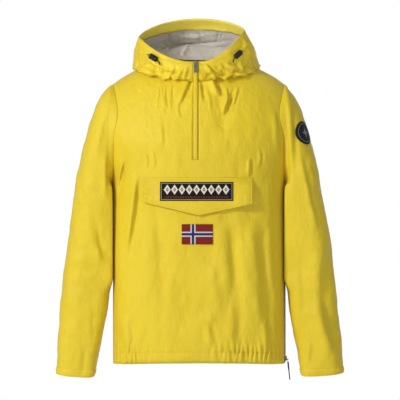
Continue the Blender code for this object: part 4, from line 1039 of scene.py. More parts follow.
@dataclass(frozen=True)
class MeshFinish(Finish):
    """Knitted mesh lining: rows of small holes in a warm grey knit, the holes painted dark as painted shade."""

    colour: Colour
    hole: Colour
    pitch: float

    def wire(self, net: Wiring, groups: SharedGroups) -> None:
        """Joins up the shader: holes lie where the sines of both runs are high, every other row shifted."""
        x, y, _ = net.parts(net.runs())
        rate = 2 * math.pi / self.pitch
        first, second = (net.math("SINE", net.times(net.math(way, x, y), rate)) for way in ("ADD", "SUBTRACT"))
        holes = net.spread(net.times(first, second), 0.15, 0.6)
        tone = net.group(groups.tone, Place=net.place())["Tone"]
        dark = tuple(0.86 * each for each in self.colour)
        cloth = net.mix(net.spread(tone, 0.35, 0.65), dark, self.colour)
        # The holes are real openings; their dark colour is painted shade for what is seen through them.
        net.shade(
            Base_Color=net.mix(net.times(holes, 0.75), cloth, self.hole), Roughness=0.85,
            Specular_IOR_Level=0.25, Sheen_Weight=0.25,
            Normal=net.bump(net.math("SUBTRACT", 1.0, holes), 0.0004, 0.7))


@dataclass(frozen=True)
class HardFinish(Finish):
    """Moulded plastic or cast metal with fine grain and rubbed tone."""

    colour: Colour
    roughness: float
    metallic: float = 0.0

    def wire(self, net: Wiring, groups: SharedGroups) -> None:
        """Joins up the shader."""
        place = net.place()
        tone = net.group(groups.tone, Place=place)["Tone"]
        worn = tuple(min(1.0, 1.6 * each + 0.01) for each in self.colour)
        grain = net.noise(place, 900.0)
        net.shade(
            Base_Color=net.mix(net.spread(tone, 0.45, 0.75, 0.0, 0.6), self.colour, worn),
            Roughness=net.spread(grain, 0.3, 0.7, self.roughness - 0.08, self.roughness + 0.08),
            Metallic=self.metallic, Normal=net.bump(grain, 0.0001, 0.4))


@dataclass(frozen=True)
class ThreadFinish(Finish):
    """Sewing thread: a twisted yarn with a soft shine."""

    colour: Colour

    def wire(self, net: Wiring, groups: SharedGroups) -> None:
        """Joins up the shader."""
        twist = net.noise(net.place(), 2500.0, 1.0)
        dark = tuple(0.8 * each for each in self.colour)
        net.shade(Base_Color=net.mix(twist, dark, self.colour), Roughness=0.55, Normal=net.bump(twist, 0.0001, 0.5))


@dataclass(frozen=True)
class Patch:
    """An upright oblong over the front, by its edges."""

    right: float
    left: float
    top: float
    low: float

    def middle(self) -> Key:
        """Gives x and z of its middle."""
        return (self.right + self.left) / 2, (self.top + self.low) / 2

    def grid(self, columns: int, rows: int) -> tuple[Array, Array, Array]:
        """Gives x and z of a grid over it, and how far each place is from the nearest edge."""
        u, v = np.meshgrid(np.linspace(0, 1, columns), np.linspace(0, 1, rows))
        x, z = self.right + (self.left - self.right) * u, self.top + (self.low - self.top) * v
        aside = np.minimum(u, 1 - u) * (self.left - self.right)
        return x, z, np.minimum(aside, np.minimum(v, 1 - v) * (self.top - self.low))


LABEL = Patch(-0.0922, 0.0797, -0.268, -0.3118)
FLAG = Patch(-0.0413, 0.0318, -0.3668, -0.414)


@dataclass(frozen=True)
class LabelFinish(Finish):
    """Woven label: a dark ground, a thin cream border, a cream row of diamonds and a dull red dotted line."""

    patch: Patch
    ground: Colour = (0.008, 0.005, 0.004)
    cream: Colour = (0.82, 0.77, 0.64)
    red: Colour = (0.26, 0.025, 0.02)
    inset: float = 0.003
    half_pitch: float = 0.0172 / 2
    half_height: float = 0.0126
    diamonds_up: float = 0.0042
    dots_down: float = 0.0132

    def wire(self, net: Wiring, groups: SharedGroups) -> None:
        """Joins up the shader from x and z on the label, in metres."""
        x, _, z = net.parts(net.place())
        middle_x, middle_z = self.patch.middle()
        aside = net.apart(x, middle_x)
        from_side = net.math("SUBTRACT", (self.patch.left - self.patch.right) / 2, aside)
        from_end = net.math("SUBTRACT", (self.patch.top - self.patch.low) / 2, net.apart(z, middle_z))
        border = net.apart(net.math("MINIMUM", from_side, from_end), self.inset)
        slope = net.math("DIVIDE", net.math("PINGPONG", aside, self.half_pitch), self.half_pitch)
        height = net.math("DIVIDE", net.apart(z, middle_z + self.diamonds_up), self.half_height)
        diamond = net.math("ADD", slope, height)
        outline = net.times(net.within(diamond, 0.9, 0.98), net.spread(diamond, 0.36, 0.44))
        shape = net.math("MAXIMUM", outline, net.within(diamond, 0.14, 0.22))
        shape = net.times(shape, net.spread(from_side, 0.007, 0.0078))
        cream = net.math("MAXIMUM", net.times(net.within(border, 0.0005, 0.0009), 0.4), shape)
        dot = net.spread(net.math("PINGPONG", net.math("ADD", x, 1.0), 0.003), 0.001, 0.0014)
        dotted = net.times(dot, net.within(net.apart(z, middle_z - self.dots_down), 0.0012, 0.0016))
        dotted = net.times(dotted, net.spread(from_side, 0.01, 0.0106))
        weave = net.group(groups.weave, Runs=net.runs(), Thread=0.0006)["Height"]
        colour = net.mix(cream, net.mix(dotted, self.ground, self.red), self.cream)
        # The base colour darkens towards black where the weave lies low: painted shade between the threads.
        net.shade(
            Base_Color=net.mix(net.spread(weave, 0.2, 1.2, 0.25, 0.0), colour, (0.01, 0.01, 0.01)),
            Roughness=0.7, Specular_IOR_Level=0.15,
            Normal=net.bump(weave, 0.0002, 0.5, Normal=net.bump(cream, 0.0004, 0.6)))


@dataclass(frozen=True)
class FlagFinish(Finish):
    """Woven national flag: red with a blue cross edged in white, its upright nearer the hoist."""

    patch: Patch
    red: Colour = (0.23, 0.014, 0.012)
    white: Colour = (0.7, 0.68, 0.66)
    blue: Colour = (0.016, 0.028, 0.12)
    edge: float = 0.0002

    def wire(self, net: Wiring, groups: SharedGroups) -> None:
        """Joins up the shader: a place's distance from the cross's middle lines picks its colour."""
        x, _, z = net.parts(net.place())
        unit_high = (self.patch.top - self.patch.low) / 16
        upright = self.patch.right + 8 / 22 * (self.patch.left - self.patch.right)
        near = net.math("MINIMUM", net.apart(x, upright), net.apart(z, self.patch.middle()[1]))
        white, blue = (net.within(near, half * unit_high - self.edge, half * unit_high + self.edge)
                       for half in (2, 1))
        colour = net.mix(blue, net.mix(white, self.red, self.white), self.blue)
        weave = net.group(groups.weave, Runs=net.runs(), Thread=0.0006)["Height"]
        # The base colour darkens towards black where the weave lies low: painted shade between the threads.
        net.shade(
            Base_Color=net.mix(net.spread(weave, 0.2, 1.2, 0.3, 0.0), colour, (0.02, 0.015, 0.015)),
            Roughness=0.7, Specular_IOR_Level=0.2, Normal=net.bump(weave, 0.0003, 0.6))


@dataclass(frozen=True)
class BadgeFinish(Finish):
    """Round badge: a dark ground, a thin grey ring and a plain four-pointed star."""

    radius: float
    ground: Colour = (0.009, 0.008, 0.012)
    grey: Colour = (0.24, 0.235, 0.23)

    def wire(self, net: Wiring, groups: SharedGroups) -> None:
        """Joins up the shader from the badge's own map, whose middle is at zero."""
        x, y, _ = net.parts(net.runs("disc"))
        far = net.math("SQRT", net.math("ADD", net.times(x, x), net.times(y, y)))
        ring = net.within(net.apart(far, self.radius * 0.8), 0.0004, 0.0008)
        arms = net.math("ADD", *(net.math("POWER", net.size(each), 0.5) for each in (x, y)))
        reach = math.sqrt(self.radius * 0.62)
        figure = net.math("MAXIMUM", ring, net.times(net.within(arms, reach * 0.96, reach), 0.8))
        net.shade(Base_Color=net.mix(figure, self.ground, self.grey), Roughness=0.5, Specular_IOR_Level=0.25,
                  Normal=net.bump(figure, 0.0005, 0.6))


class Finishes:
    """Every material that more than one piece may take, and the groups for the others."""

    def __init__(self, groups: SharedGroups) -> None:
        """Builds them all."""
        self.groups = groups
        self.shell = WovenFinish(
            "yellow_shell", (0.775, 0.585, 0.02), (0.725, 0.53, 0.014), 0.52, 0.08, 0.0005, 0.65).make(groups)
        # The facing is the shell's yellow cloth made much lighter: painted light, for the light that shines through
        # the thin cloth inside the hood.
        self.facing = WovenFinish(
            "yellow_facing", (1.0, 0.86, 0.11), (1.0, 0.82, 0.08), 0.52, 0.12, 0.0005, 0.55).make(groups)
        # The lining's dark hole colour is painted shade seen through the mesh.
        self.lining = MeshFinish("grey_mesh", (0.7, 0.655, 0.6), (0.2, 0.185, 0.175), 0.0028).make(groups)
        self.black_cloth = WovenFinish(
            "black_tape", (0.02, 0.018, 0.018), (0.012, 0.011, 0.011), 0.7, 0.1, 0.0006, 0.15).make(groups)
        self.black_cord = WovenFinish(
            "black_braid", (0.01, 0.009, 0.009), (0.006, 0.006, 0.006), 0.7, 0.1, 0.0009, 0.2).make(groups)
        self.plastic = HardFinish("black_moulded", (0.002, 0.002, 0.002), 0.22).make(groups)
        self.metal = HardFinish("grey_zip_metal", (0.13, 0.125, 0.115), 0.42, 0.6).make(groups)
        self.thread = ThreadFinish("yellow_thread", (0.66, 0.48, 0.032)).make(groups)


# Stitching


@dataclass
class Stitching:
    """Rows of stitches, each a small bead along the cloth, gathered into one mesh."""

    name: str
    pitch: float = 0.0032
    length: float = 0.0022
    radius: float = 0.00032
    sides: int = 5
    beads: list[Array] = field(default_factory=list)
    rings: ClassVar[Table] = table("share size rise", "0 0.35 -0.6; 0.25 1 0.3; 0.75 1 0.3; 1 0.35 -0.6")

    def add(self, path: Array, normal: Array) -> None:
        """Adds a row of stitches.

        Each bead has four rings: a narrow one at each end, sunk into the cloth, and two full ones.

        Args:
            path: Points of the seam line.
            normal: Unit directions out of the cloth at them.
        """
        run = run_along(path)
        middle = (np.arange(int(run[-1] / self.pitch)) + 0.5) * self.pitch
        if not len(middle):
            return
        first, last = (along_path(middle + shift, run, path) for shift in (-self.length / 2, self.length / 2))
        out = unit(along_path(middle, run, normal))
        aside = np.cross(unit(last - first), out)
        angle = circle(self.sides)[:, None]
        turned = aside[:, None] * np.cos(angle) + out[:, None] * np.sin(angle)
        rings = []
        for row in named_rows(self.rings):
            centre = first * (1 - row["share"]) + last * row["share"] + out * self.radius * row["rise"]
            rings.append(centre[:, None] + turned * self.radius * row["size"])
        self.beads.extend(np.stack(rings, 1))

    def build(self, finish: bpy.types.Material) -> None:
        """Joins the beads into a piece."""
        add_piece(self.name, joined_mesh(self.name, self.beads), finish)


# Pieces


@dataclass
class Assembly:
    """Pieces of the garment that are built together, with the forms and finishes they need."""

    torso: Torso
    hood: HoodForm
    finishes: Finishes
    stitches: Stitching

    def build(self) -> None:
        """Builds them; each assembly has its own way."""
        raise NotImplementedError


@dataclass
class BodyPanels(Assembly):
    """The front and the back, with their hem channel, gathers and creases."""

    lower_length: float = 0.426
    upper_length: float = 0.26
    lower_step: float = 0.0033
    upper_step: float = 0.0026
    zip_foot: float = 0.24
    fold_gain: float = 1.8
    gather_gain: float = 2.2
    side_fullness: float = 0.0085
    crease_end: float = 0.206
    gather_end: float = 0.2045
    hem_stitch: float = 0.004
    turn_in: float = 0.005
    hem_rows: ClassVar[Array] = np.array(
        [0.0006, 0.0018, 0.004, 0.0235, 0.025, 0.0262, 0.027, 0.0278, 0.029, 0.0305])
    columns: ClassVar[dict[Face, int]] = {Face.FRONT: 90, Face.BACK: 70}
    seeds: ClassVar[dict[Face, tuple[int, int]]] = {Face.FRONT: (3, 21), Face.BACK: (11, 29)}
    smoothed: ClassVar[tuple[Patch, ...]] = (Patch(-0.136, 0.118, -0.262, -0.335), FLAG)
    gathers: ClassVar[dict[Face, Table]] = tables(
        Face, "x depth reach lean width", """
            -.188 .0016 .03 .02 .0026; -.18 .0022 .046 .06 .0028; -.172 .002 .04 -.04 .0026;
            -.1645 .0024 .058 .05 .0028; -.157 .0018 .036 .02 .0026; -.149 .0016 .044 -.05 .0028;
            -.12 .001 .03 .02 .003; -.082 .0007 .03 .02 .003; .026 .0012 .04 .04 .003; .045 .002 .062 -.03 .003;
            .056 .0024 .05 .05 .0028; .065 .0016 .036 .03 .0026; .075 .0026 .07 -.04 .003; .085 .0022 .052 .04 .0028;
            .094 .0026 .06 .06 .0028; .106 .0022 .074 -.05 .003; .117 .0024 .05 .02 .0028; .128 .0018 .04 .05 .0026;
            .138 .0022 .064 -.03 .0028; .15 .002 .046 .04 .0028; .161 .0024 .058 .06 .003;
            .172 .0022 .044 -.02 .0026; .183 .002 .054 .03 .0028; .193 .0014 .036 .02 .0026""", """
            -.19 .0018 .04 .02 .0028; -.179 .0022 .052 .05 .0028; -.168 .0024 .06 -.04 .003;
            -.156 .002 .044 .03 .0028; -.144 .0024 .066 .04 .003; -.131 .0018 .04 -.03 .0028;
            -.118 .0022 .054 .05 .003; -.102 .0014 .036 .02 .003; -.02 .0009 .03 .02 .0032;
            .03 .0009 .034 -.02 .0032; .072 .0016 .046 .03 .003; .086 .0022 .06 -.04 .003; .099 .002 .044 .05 .0028;
            .112 .0026 .068 .02 .003; .125 .002 .05 -.03 .0028; .138 .0024 .056 .04 .003; .151 .0018 .042 .03 .0028;
            .164 .0024 .06 -.04 .003; .176 .002 .048 .05 .0028; .188 .0016 .036 .02 .0026""")
    folds: ClassVar[dict[Face, Table]] = tables(
        Face, FOLD, """
            -148.7 -239.1 -153.4 -323.7 -176.9 -455.3 5 14 6 3; -169.9 -575 -172.2 -625 -167.5 -668 2.4 9 5 1.6;
            -113.5 -328.4 -108.8 -462.4 -106.4 -657.4 4 14 8 2; -40.6 -427.1 -35.9 -509.4 -38.3 -572.8 1.5 14 7 .5;
            15.8 -594 22.8 -624.5 32.2 -662.1 2.2 7 4 1.5; 58.1 -356.6 62.8 -455.3 74.5 -556.4 5 14 7 3;
            74.5 -530.5 81.6 -591.6 72.2 -662.1 3.4 11 6.5 2.2; 123.9 -340.2 128.6 -455.3 147.4 -650.4 5.5 20 8 3;
            154.4 -582.2 156.8 -626.9 161.5 -666.8 3.5 7 3.5 2.5; 180.3 -615.1 185 -650.4 187.3 -680.9 2 6 3 1.5;
            -176.9 -206.2 -193.4 -257.9 -200.4 -314.3 5 8 4 3; -20 -8.8 -31 -46 -49 -88 5 7 3 4;
            -1.8 -16 1.7 -46.4 7 -82 3.6 3 3 4; 25.2 -8.8 34.6 -37 51 -69.9 7 8 4 5;
            74.5 -51.1 62.8 -79.3 53.4 -114.6 5.2 7 3.5 4; 62.8 -41.7 67.5 -62.9 65.1 -84 2.5 3 2.5 2;
            93.3 -37 86.3 -65.2 76.9 -91.1 2 5 3 1.5; -92.3 -37 -87.6 -67.6 -80.6 -95.8 1.5 6 4 1;
            -68.8 -41.7 -73.5 -69.9 -64.1 -98.1 1.5 5 3 1; -92.3 -126.3 -85.3 -154.5 -87.6 -187.4 1.2 6 4 .8;
            177.9 -93.4 187.3 -156.9 192 -229.7 3 10 4 2; -78 -37 -85 -65 -74 -98 2 4 2 1.5;
            -64 -32 -69 -63 -60 -84 1.8 4 2 1.2; -97 -41 -92 -70 -104 -89 1.4 4 2.5 1;
            -45 -74 -55 -98 -43 -121 1.4 4 2.5 1; 16 -46 30 -74 25 -103 1.6 4 2.5 1;
            39 -84 53 -103 44 -121 1.3 4 2.5 .8; 119.2 -208.6 116.8 -232.1 116.8 -257.9 3 5 3 2.5;
            140.3 -187.4 147.4 -210.9 138 -234.4 1.5 4 3 1; -129.9 -196.8 -118.2 -215.6 -125.2 -239.1 1.2 4 3 1;
            -111.1 -192.1 -101.7 -215.6 -106.4 -239.1 1 4 3 .8; 34.6 -455.3 29.9 -509.4 41.6 -554 1.2 10 6 .6;
            -73.5 -455.3 -68.8 -544.6 -73.5 -626.9 1 12 7 .5; -7.7 -619.8 11.1 -572.8 48.7 -596.3 1.2 8 8 .8;
            161.5 -361.3 166.2 -455.3 170.9 -544.6 1.5 10 6 1; 102.7 -394.2 95.7 -455.3 107.4 -521.1 1.2 10 6 .6;
            -191 -361.3 -193.4 -427.1 -186.3 -488.2 1.5 6 5 .8""", """
            -150 -180 -170 -250 -196 -320 4.5 9 5 3; 152 -175 174 -245 196 -330 4.5 9 5 3;
            -70 -50 -90 -110 -120 -170 2.5 10 6 1.5; 65 -55 90 -120 115 -185 2.5 10 6 1.5;
            -20 -60 -26 -110 -20 -170 1.8 9 6 1; 26 -80 20 -130 28 -190 1.5 9 6 .8;
            -172 -340 -166 -440 -176 -560 4 12 6 2.5; -138 -390 -130 -500 -140 -650 4.5 14 7 3;
            -90 -300 -98 -420 -90 -560 4 16 8 2; -48 -460 -40 -560 -50 -660 3.5 11 6 2.5;
            4 -340 12 -460 0 -600 3.5 16 9 2; 56 -420 48 -540 60 -660 4.2 13 6 2.8;
            98 -320 106 -450 96 -580 4 14 8 2.2; 142 -370 150 -490 142 -650 4.8 14 7 3;
            178 -340 186 -440 179 -580 3 10 6 2; -178 -580 -172 -630 -178 -672 3 7 3.5 2.2;
            -110 -600 -104 -640 -112 -672 3 7 3.5 2.2; 80 -605 86 -642 78 -674 3 7 3.5 2.2;
            166 -590 172 -635 166 -674 3 7 3.5 2.2; 18 -610 24 -642 18 -670 2.2 7 4 1.5""", per_metre=1000.0)

    def gathered(self, face: Face, x: Array, z: Array) -> Array:
        """Depth of the gathers at the hem: a groove for each, deepest at the channel's seam."""
        channel = self.torso.channel
        rise = z - self.torso.hem_z(x)
        depth = np.zeros_like(x)
        for row in named_rows(self.gathers[face]):
            line = row["x"] + 3 * row["lean"] * (rise - channel)
            reach = 0.55 * row["reach"]
            above = smooth(0.0, reach, reach + channel - rise)
            fade = above * (0.65 + 0.35 * smooth(0.0, channel, rise))
            groove = hump(x, line, row["width"]) - 0.45 * hump(x, line + 1.9 * row["width"], 1.2 * row["width"])
            depth += row["depth"] * fade * groove
        depth = self.gather_gain * depth + 0.0006 * hump(rise, channel, 0.0022)
        depth -= 0.0018 * hump(rise, 0.5 * channel, 0.009)
        depth += 0.006 * hump(rise, 0.0, 0.003)
        return depth * smooth(0.0, 0.01, self.gather_end - np.abs(x - self.torso.centre_x))

    def dress(self, points: Array, face: Face) -> Array:
        """Adds creases, gathers and slow unevenness to a panel, all along y."""
        x, z = points[..., 0], points[..., 2]
        torso = self.torso
        inside = smooth(0.0, 0.03, self.crease_end - np.abs(x - torso.centre_x))
        below_seam = smooth(0.0, 0.05, torso.shoulder_z(x) - z)
        folds = self.folds[face]
        low = folds["z0"] < -0.3
        wider = {flank: folds[flank] * np.where(low, by, 1.0) for flank, by in (("gentle", 1.35), ("steep", 1.7))}
        depth = -self.fold_gain * raised_folds({**folds, **wider}, x, z) * inside
        slow = layered_noise(points, (0.05, 0.09, 0.11), self.seeds[face][0])
        fine = layered_noise(points, (0.016, 0.03, 0.034), self.seeds[face][1], 2)
        calm = 1 - 0.55 * smooth(-0.3, -0.22, z)
        depth += (0.0022 * slow * calm + 0.0009 * fine) * inside * (0.3 + 0.7 * below_seam)
        if face is Face.FRONT:
            depth = depth * (1 - 0.75 * self.under_patches(x, z)) - self.fuller(x, z)
        depth += self.gathered(face, x, z)
        dressed = points.copy()
        dressed[..., 1] -= face.value * depth
        return dressed

    def fuller(self, x: Array, z: Array) -> Array:
        """How far the front's side corners stand forward below the armpits."""
        out = np.abs(x - self.torso.centre_x) / self.torso.half_width(z)
        return self.side_fullness * smooth(0.55, 0.86, out) * (1 - np.clip(out, 0, 1) ** 12) * smooth(-0.25, -0.31, z)

    def under_patches(self, x: Array, z: Array) -> Array:
        """One under the flap and the flag patch, where the front lies smooth, and nothing elsewhere."""
        covered = np.zeros_like(x)
        for patch in self.smoothed:
            across = smooth(0.0, 0.01, np.minimum(x - patch.right, patch.left - x) + 0.006)
            down = smooth(0.0, 0.01, np.minimum(patch.top - z, z - patch.low) + 0.006)
            covered = np.maximum(covered, across * down)
        return covered

    def rows(self) -> Array:
        """Rows from hem to shoulder, closer together at the hem channel's seam and the hem's edge."""
        even = np.linspace(-1, 0, int(self.lower_length / self.lower_step) + 1)
        extra = -1 + self.hem_rows / self.lower_length
        upper = np.linspace(0, 1, int(self.upper_length / self.upper_step) + 1)[1:]
        return np.concatenate([np.unique(np.concatenate([even, extra])), upper])

    def panel(self, face: Face) -> Array:
        """Grid of the whole front or back from the wearer's right to left."""
        torso, front = self.torso, face is Face.FRONT
        across, up = np.linspace(0, 1, self.columns[face] + 1)[None, :], self.rows()[:, None]
        starts = [torso.zip_edge(side) if front else torso.centre_x for side in Side]
        right, left = (torso.half_panel(side, face, across, up, start) for side, start in zip(Side, starts))
        return self.dress(np.concatenate([right[:, ::-1], left if front else left[:, 1:]], axis=1), face)

    def slot(self, row: Array, column: Array) -> Array:
        """Says which quads are the zip's slot, counted after the edges are turned in."""
        foot = int(np.searchsorted(self.rows(), self.zip_foot))
        return (column == self.columns[Face.FRONT] + ROLLED) & (row >= foot + ROLLED)

    def build(self) -> None:
        """Builds both panels and sews their hem."""
        heart = np.array([0.0, 0.0, -0.35])
        for face in Face:
            grid = self.panel(face)
            out = outward(grid, heart)
            full = tuck(grid, out, (Edge.FIRST_ROW, Edge.FIRST_COLUMN, Edge.LAST_COLUMN), self.turn_in)
            add_sheet(f"{face.word}_panel", face.word, full, heart, self.finishes.shell,
                      left_out=self.slot if face is Face.FRONT else None)
            rise = grid[..., 2] - self.torso.hem_z(grid[..., 0])
            for height in (self.torso.channel, self.hem_stitch):
                row = nearest(rise.mean(axis=1), height)
                self.stitches.add(grid[row], out[row])


@dataclass
class Sleeves(Assembly):
    """Both sleeves, with their hems, creases and slow unevenness."""

    columns: int = 124
    rows: int = 190
    length: float = 0.72
    hem: float = 0.022
    cuff_stitch: float = 0.0035
    turn_in: float = 0.004
    body_side: float = 0.212
    fold_gain: float = 1.4
    head_rows: ClassVar[Array] = np.array([0.002, 0.005, 0.008, 0.012])
    cuff_rows: ClassVar[Array] = np.array([0.001, 0.02, 0.0212, 0.022, 0.0228, 0.024])
    seeds: ClassVar[dict[Side, int]] = {Side.RIGHT: 41, Side.LEFT: 53}
    lean_in: ClassVar[dict[Side, float]] = {Side.RIGHT: 0.0015, Side.LEFT: 0.0032}
    seam_ridge: ClassVar[dict[Side, float]] = {Side.RIGHT: 0.0003, Side.LEFT: 0.0018}
    folds: ClassVar[dict[tuple[Side, Face], Table]] = tables(
        [(side, face) for side in Side for face in Face], FOLD, """
            -261.6 -338.1 -249.8 -416.3 -228.4 -470.9 4 12 7 2; -275.8 -648.8 -283 -689.1 -285.3 -729.4 3 8 4 2;
            -226 -456.7 -218.9 -487.5 -228.4 -527.8 2 6 4 1; -221.3 -91.4 -237.9 -143.6 -245 -214.7 1.5 10 7 .6;
            -292.4 -276.4 -283 -304.9 -275.8 -338.1 1.2 7 5 .6; -306.7 -456.7 -311.4 -523.1 -306.7 -589.5 1.2 9 6 .6;
            -316.2 -599 -309.1 -636.9 -316.2 -679.6 1.2 7 5 .6; -259.2 -546.8 -264 -594.2 -259.2 -641.7 1.2 7 5 .6;
            -221.3 -191 -226 -262.2 -221.3 -321.5 1.8 7 4 1""", """
            -225 -130 -235 -200 -240 -280 3 10 6 1.5; -245 -320 -255 -390 -250 -460 4 11 6 2.2;
            -290 -360 -280 -430 -290 -520 3 12 7 1.5; -250 -490 -262 -550 -260 -610 3.2 9 5 1.8;
            -305 -560 -295 -620 -300 -690 2.8 9 6 1.5; -276 -650 -270 -685 -276 -720 2.4 7 4 1.5""",
        """
            210.4 -43.9 215.2 -143.6 219.9 -243.2 4 6 7 2; 234.1 -191 255.5 -285.9 283.9 -404.5 3 8 6 1.5;
            298.2 -385.5 272 -487.5 279.2 -571 6.5 24 13 2; 276.8 -522.6 283.9 -618 321.9 -700 8 22 12 3;
            238.9 -250.3 243.6 -309.6 241.3 -371.3 1.2 6 4 .6; 250.7 -345.2 246 -404.5 250.7 -456.7 1.2 7 5 .6;
            229.4 -456.7 238.9 -523.1 238.9 -589.5 1.2 9 6 .6; 267.3 -636.9 257.9 -670.1 260.2 -708.1 1.5 7 4 .8;
            208 -309.6 210.4 -380.8 212.8 -456.7 1.5 5 4 .8""", """
            224 -145 236 -210 238 -290 3 6 10 1.5; 248 -310 256 -385 252 -470 4 11 6 2.2;
            286 -350 280 -440 292 -510 3 12 7 1.5; 256 -505 264 -560 260 -620 3.2 9 5 1.8;
            308 -550 298 -610 306 -680 2.8 9 6 1.5; 280 -645 274 -685 280 -715 2.4 7 4 1.5""", per_metre=1000.0)

    def dress(self, form: SleeveForm, turn: Array, reach: Array) -> Array:
        """Adds slanting creases and unevenness to a sleeve, along its normals."""
        points = form.points(turn, reach)
        out = outward(points, points.mean(axis=1, keepdims=True), closed=True)
        depth = np.zeros(points.shape[:-1])
        for face in Face:
            faces_it = smooth(0.05, 0.55, face.value * out[..., 1])
            height = raised_folds(self.folds[form.side, face], points[..., 0], points[..., 2])
            depth -= self.fold_gain * height * faces_it
        slow = layered_noise(points, (0.045, 0.05, 0.06), self.seeds[form.side])
        fine = layered_noise(points, (0.016, 0.03, 0.024), self.seeds[form.side] + 7, 2)
        near_body = smooth(0.0, 0.02, np.abs(points[..., 0]) - self.body_side)
        start = smooth(0.0, 0.05, reach)[:, None]
        depth += (0.0018 * slow + 0.0008 * fine) * (0.25 + 0.75 * near_body) * start
        from_cuff = (1 - reach)[:, None] * self.length
        depth += 0.0005 * hump(from_cuff, self.hem, 0.0022) - 0.0018 * hump(from_cuff, 0.5 * self.hem, 0.008)
        ridge = self.seam_ridge[form.side] * smooth(0.0, 0.15, 0.45 - np.abs(turn - 0.5))
        depth -= ridge * hump(reach[:, None] * self.length, 0.008, 0.006)
        return self.lean_on_body(points - out * depth[..., None], form, turn)

    def lean_on_body(self, points: Array, form: SleeveForm, turn: Array) -> Array:
        """Brings the sleeve's inner flank up to the body's side, where the two hang against each other."""
        torso = self.torso
        z = points[..., 2]
        side_x = torso.half_width(z) + 0.0006 - self.lean_in[form.side] * smooth(0.0, 0.06, -points[..., 1])
        away = np.abs(points[..., 0] - torso.centre_x) - side_x
        round_way = (turn + 0.5) % 1.0 - 0.5
        inner = smooth(-0.04, 0.0, round_way) * smooth(0.2, 0.12, round_way)
        weight = np.maximum(hump(round_way, -0.04, 0.07), inner)
        weight = weight * smooth(-0.535, -0.495, z) * smooth(0.0, 0.02, -0.262 - z)
        moved = points.copy()
        moved[..., 0] -= form.side.value * np.clip(away, 0.0, 0.024) * weight
        return moved

    def build(self) -> None:
        """Builds both sleeves and sews their cuffs."""
        turn = np.linspace(0, 1, self.columns, endpoint=False)
        cuff = 1 - self.cuff_rows / self.length
        reach = np.unique(np.concatenate([np.linspace(0, 1, self.rows), self.head_rows, cuff]))
        for side in Side:
            grid = self.dress(SleeveForm(side, self.torso), turn, reach)
            heart = grid.mean(axis=1, keepdims=True)
            out = outward(grid, heart, closed=True)
            full = tuck(grid, out, (Edge.FIRST_ROW, Edge.LAST_ROW), self.turn_in)
            hearts = np.concatenate([np.repeat(heart[:1], ROLLED, 0), heart, np.repeat(heart[-1:], ROLLED, 0)])
            name = f"sleeve_{side.word}"
            add_sheet(f"{name}_shell", name, full, hearts, self.finishes.shell, closed=True)
            for from_cuff in (self.hem, self.cuff_stitch):
                row = nearest((1 - reach) * self.length, from_cuff)
                self.stitches.add(closed_up(grid[row:row + 1])[0], closed_up(out[row:row + 1])[0])


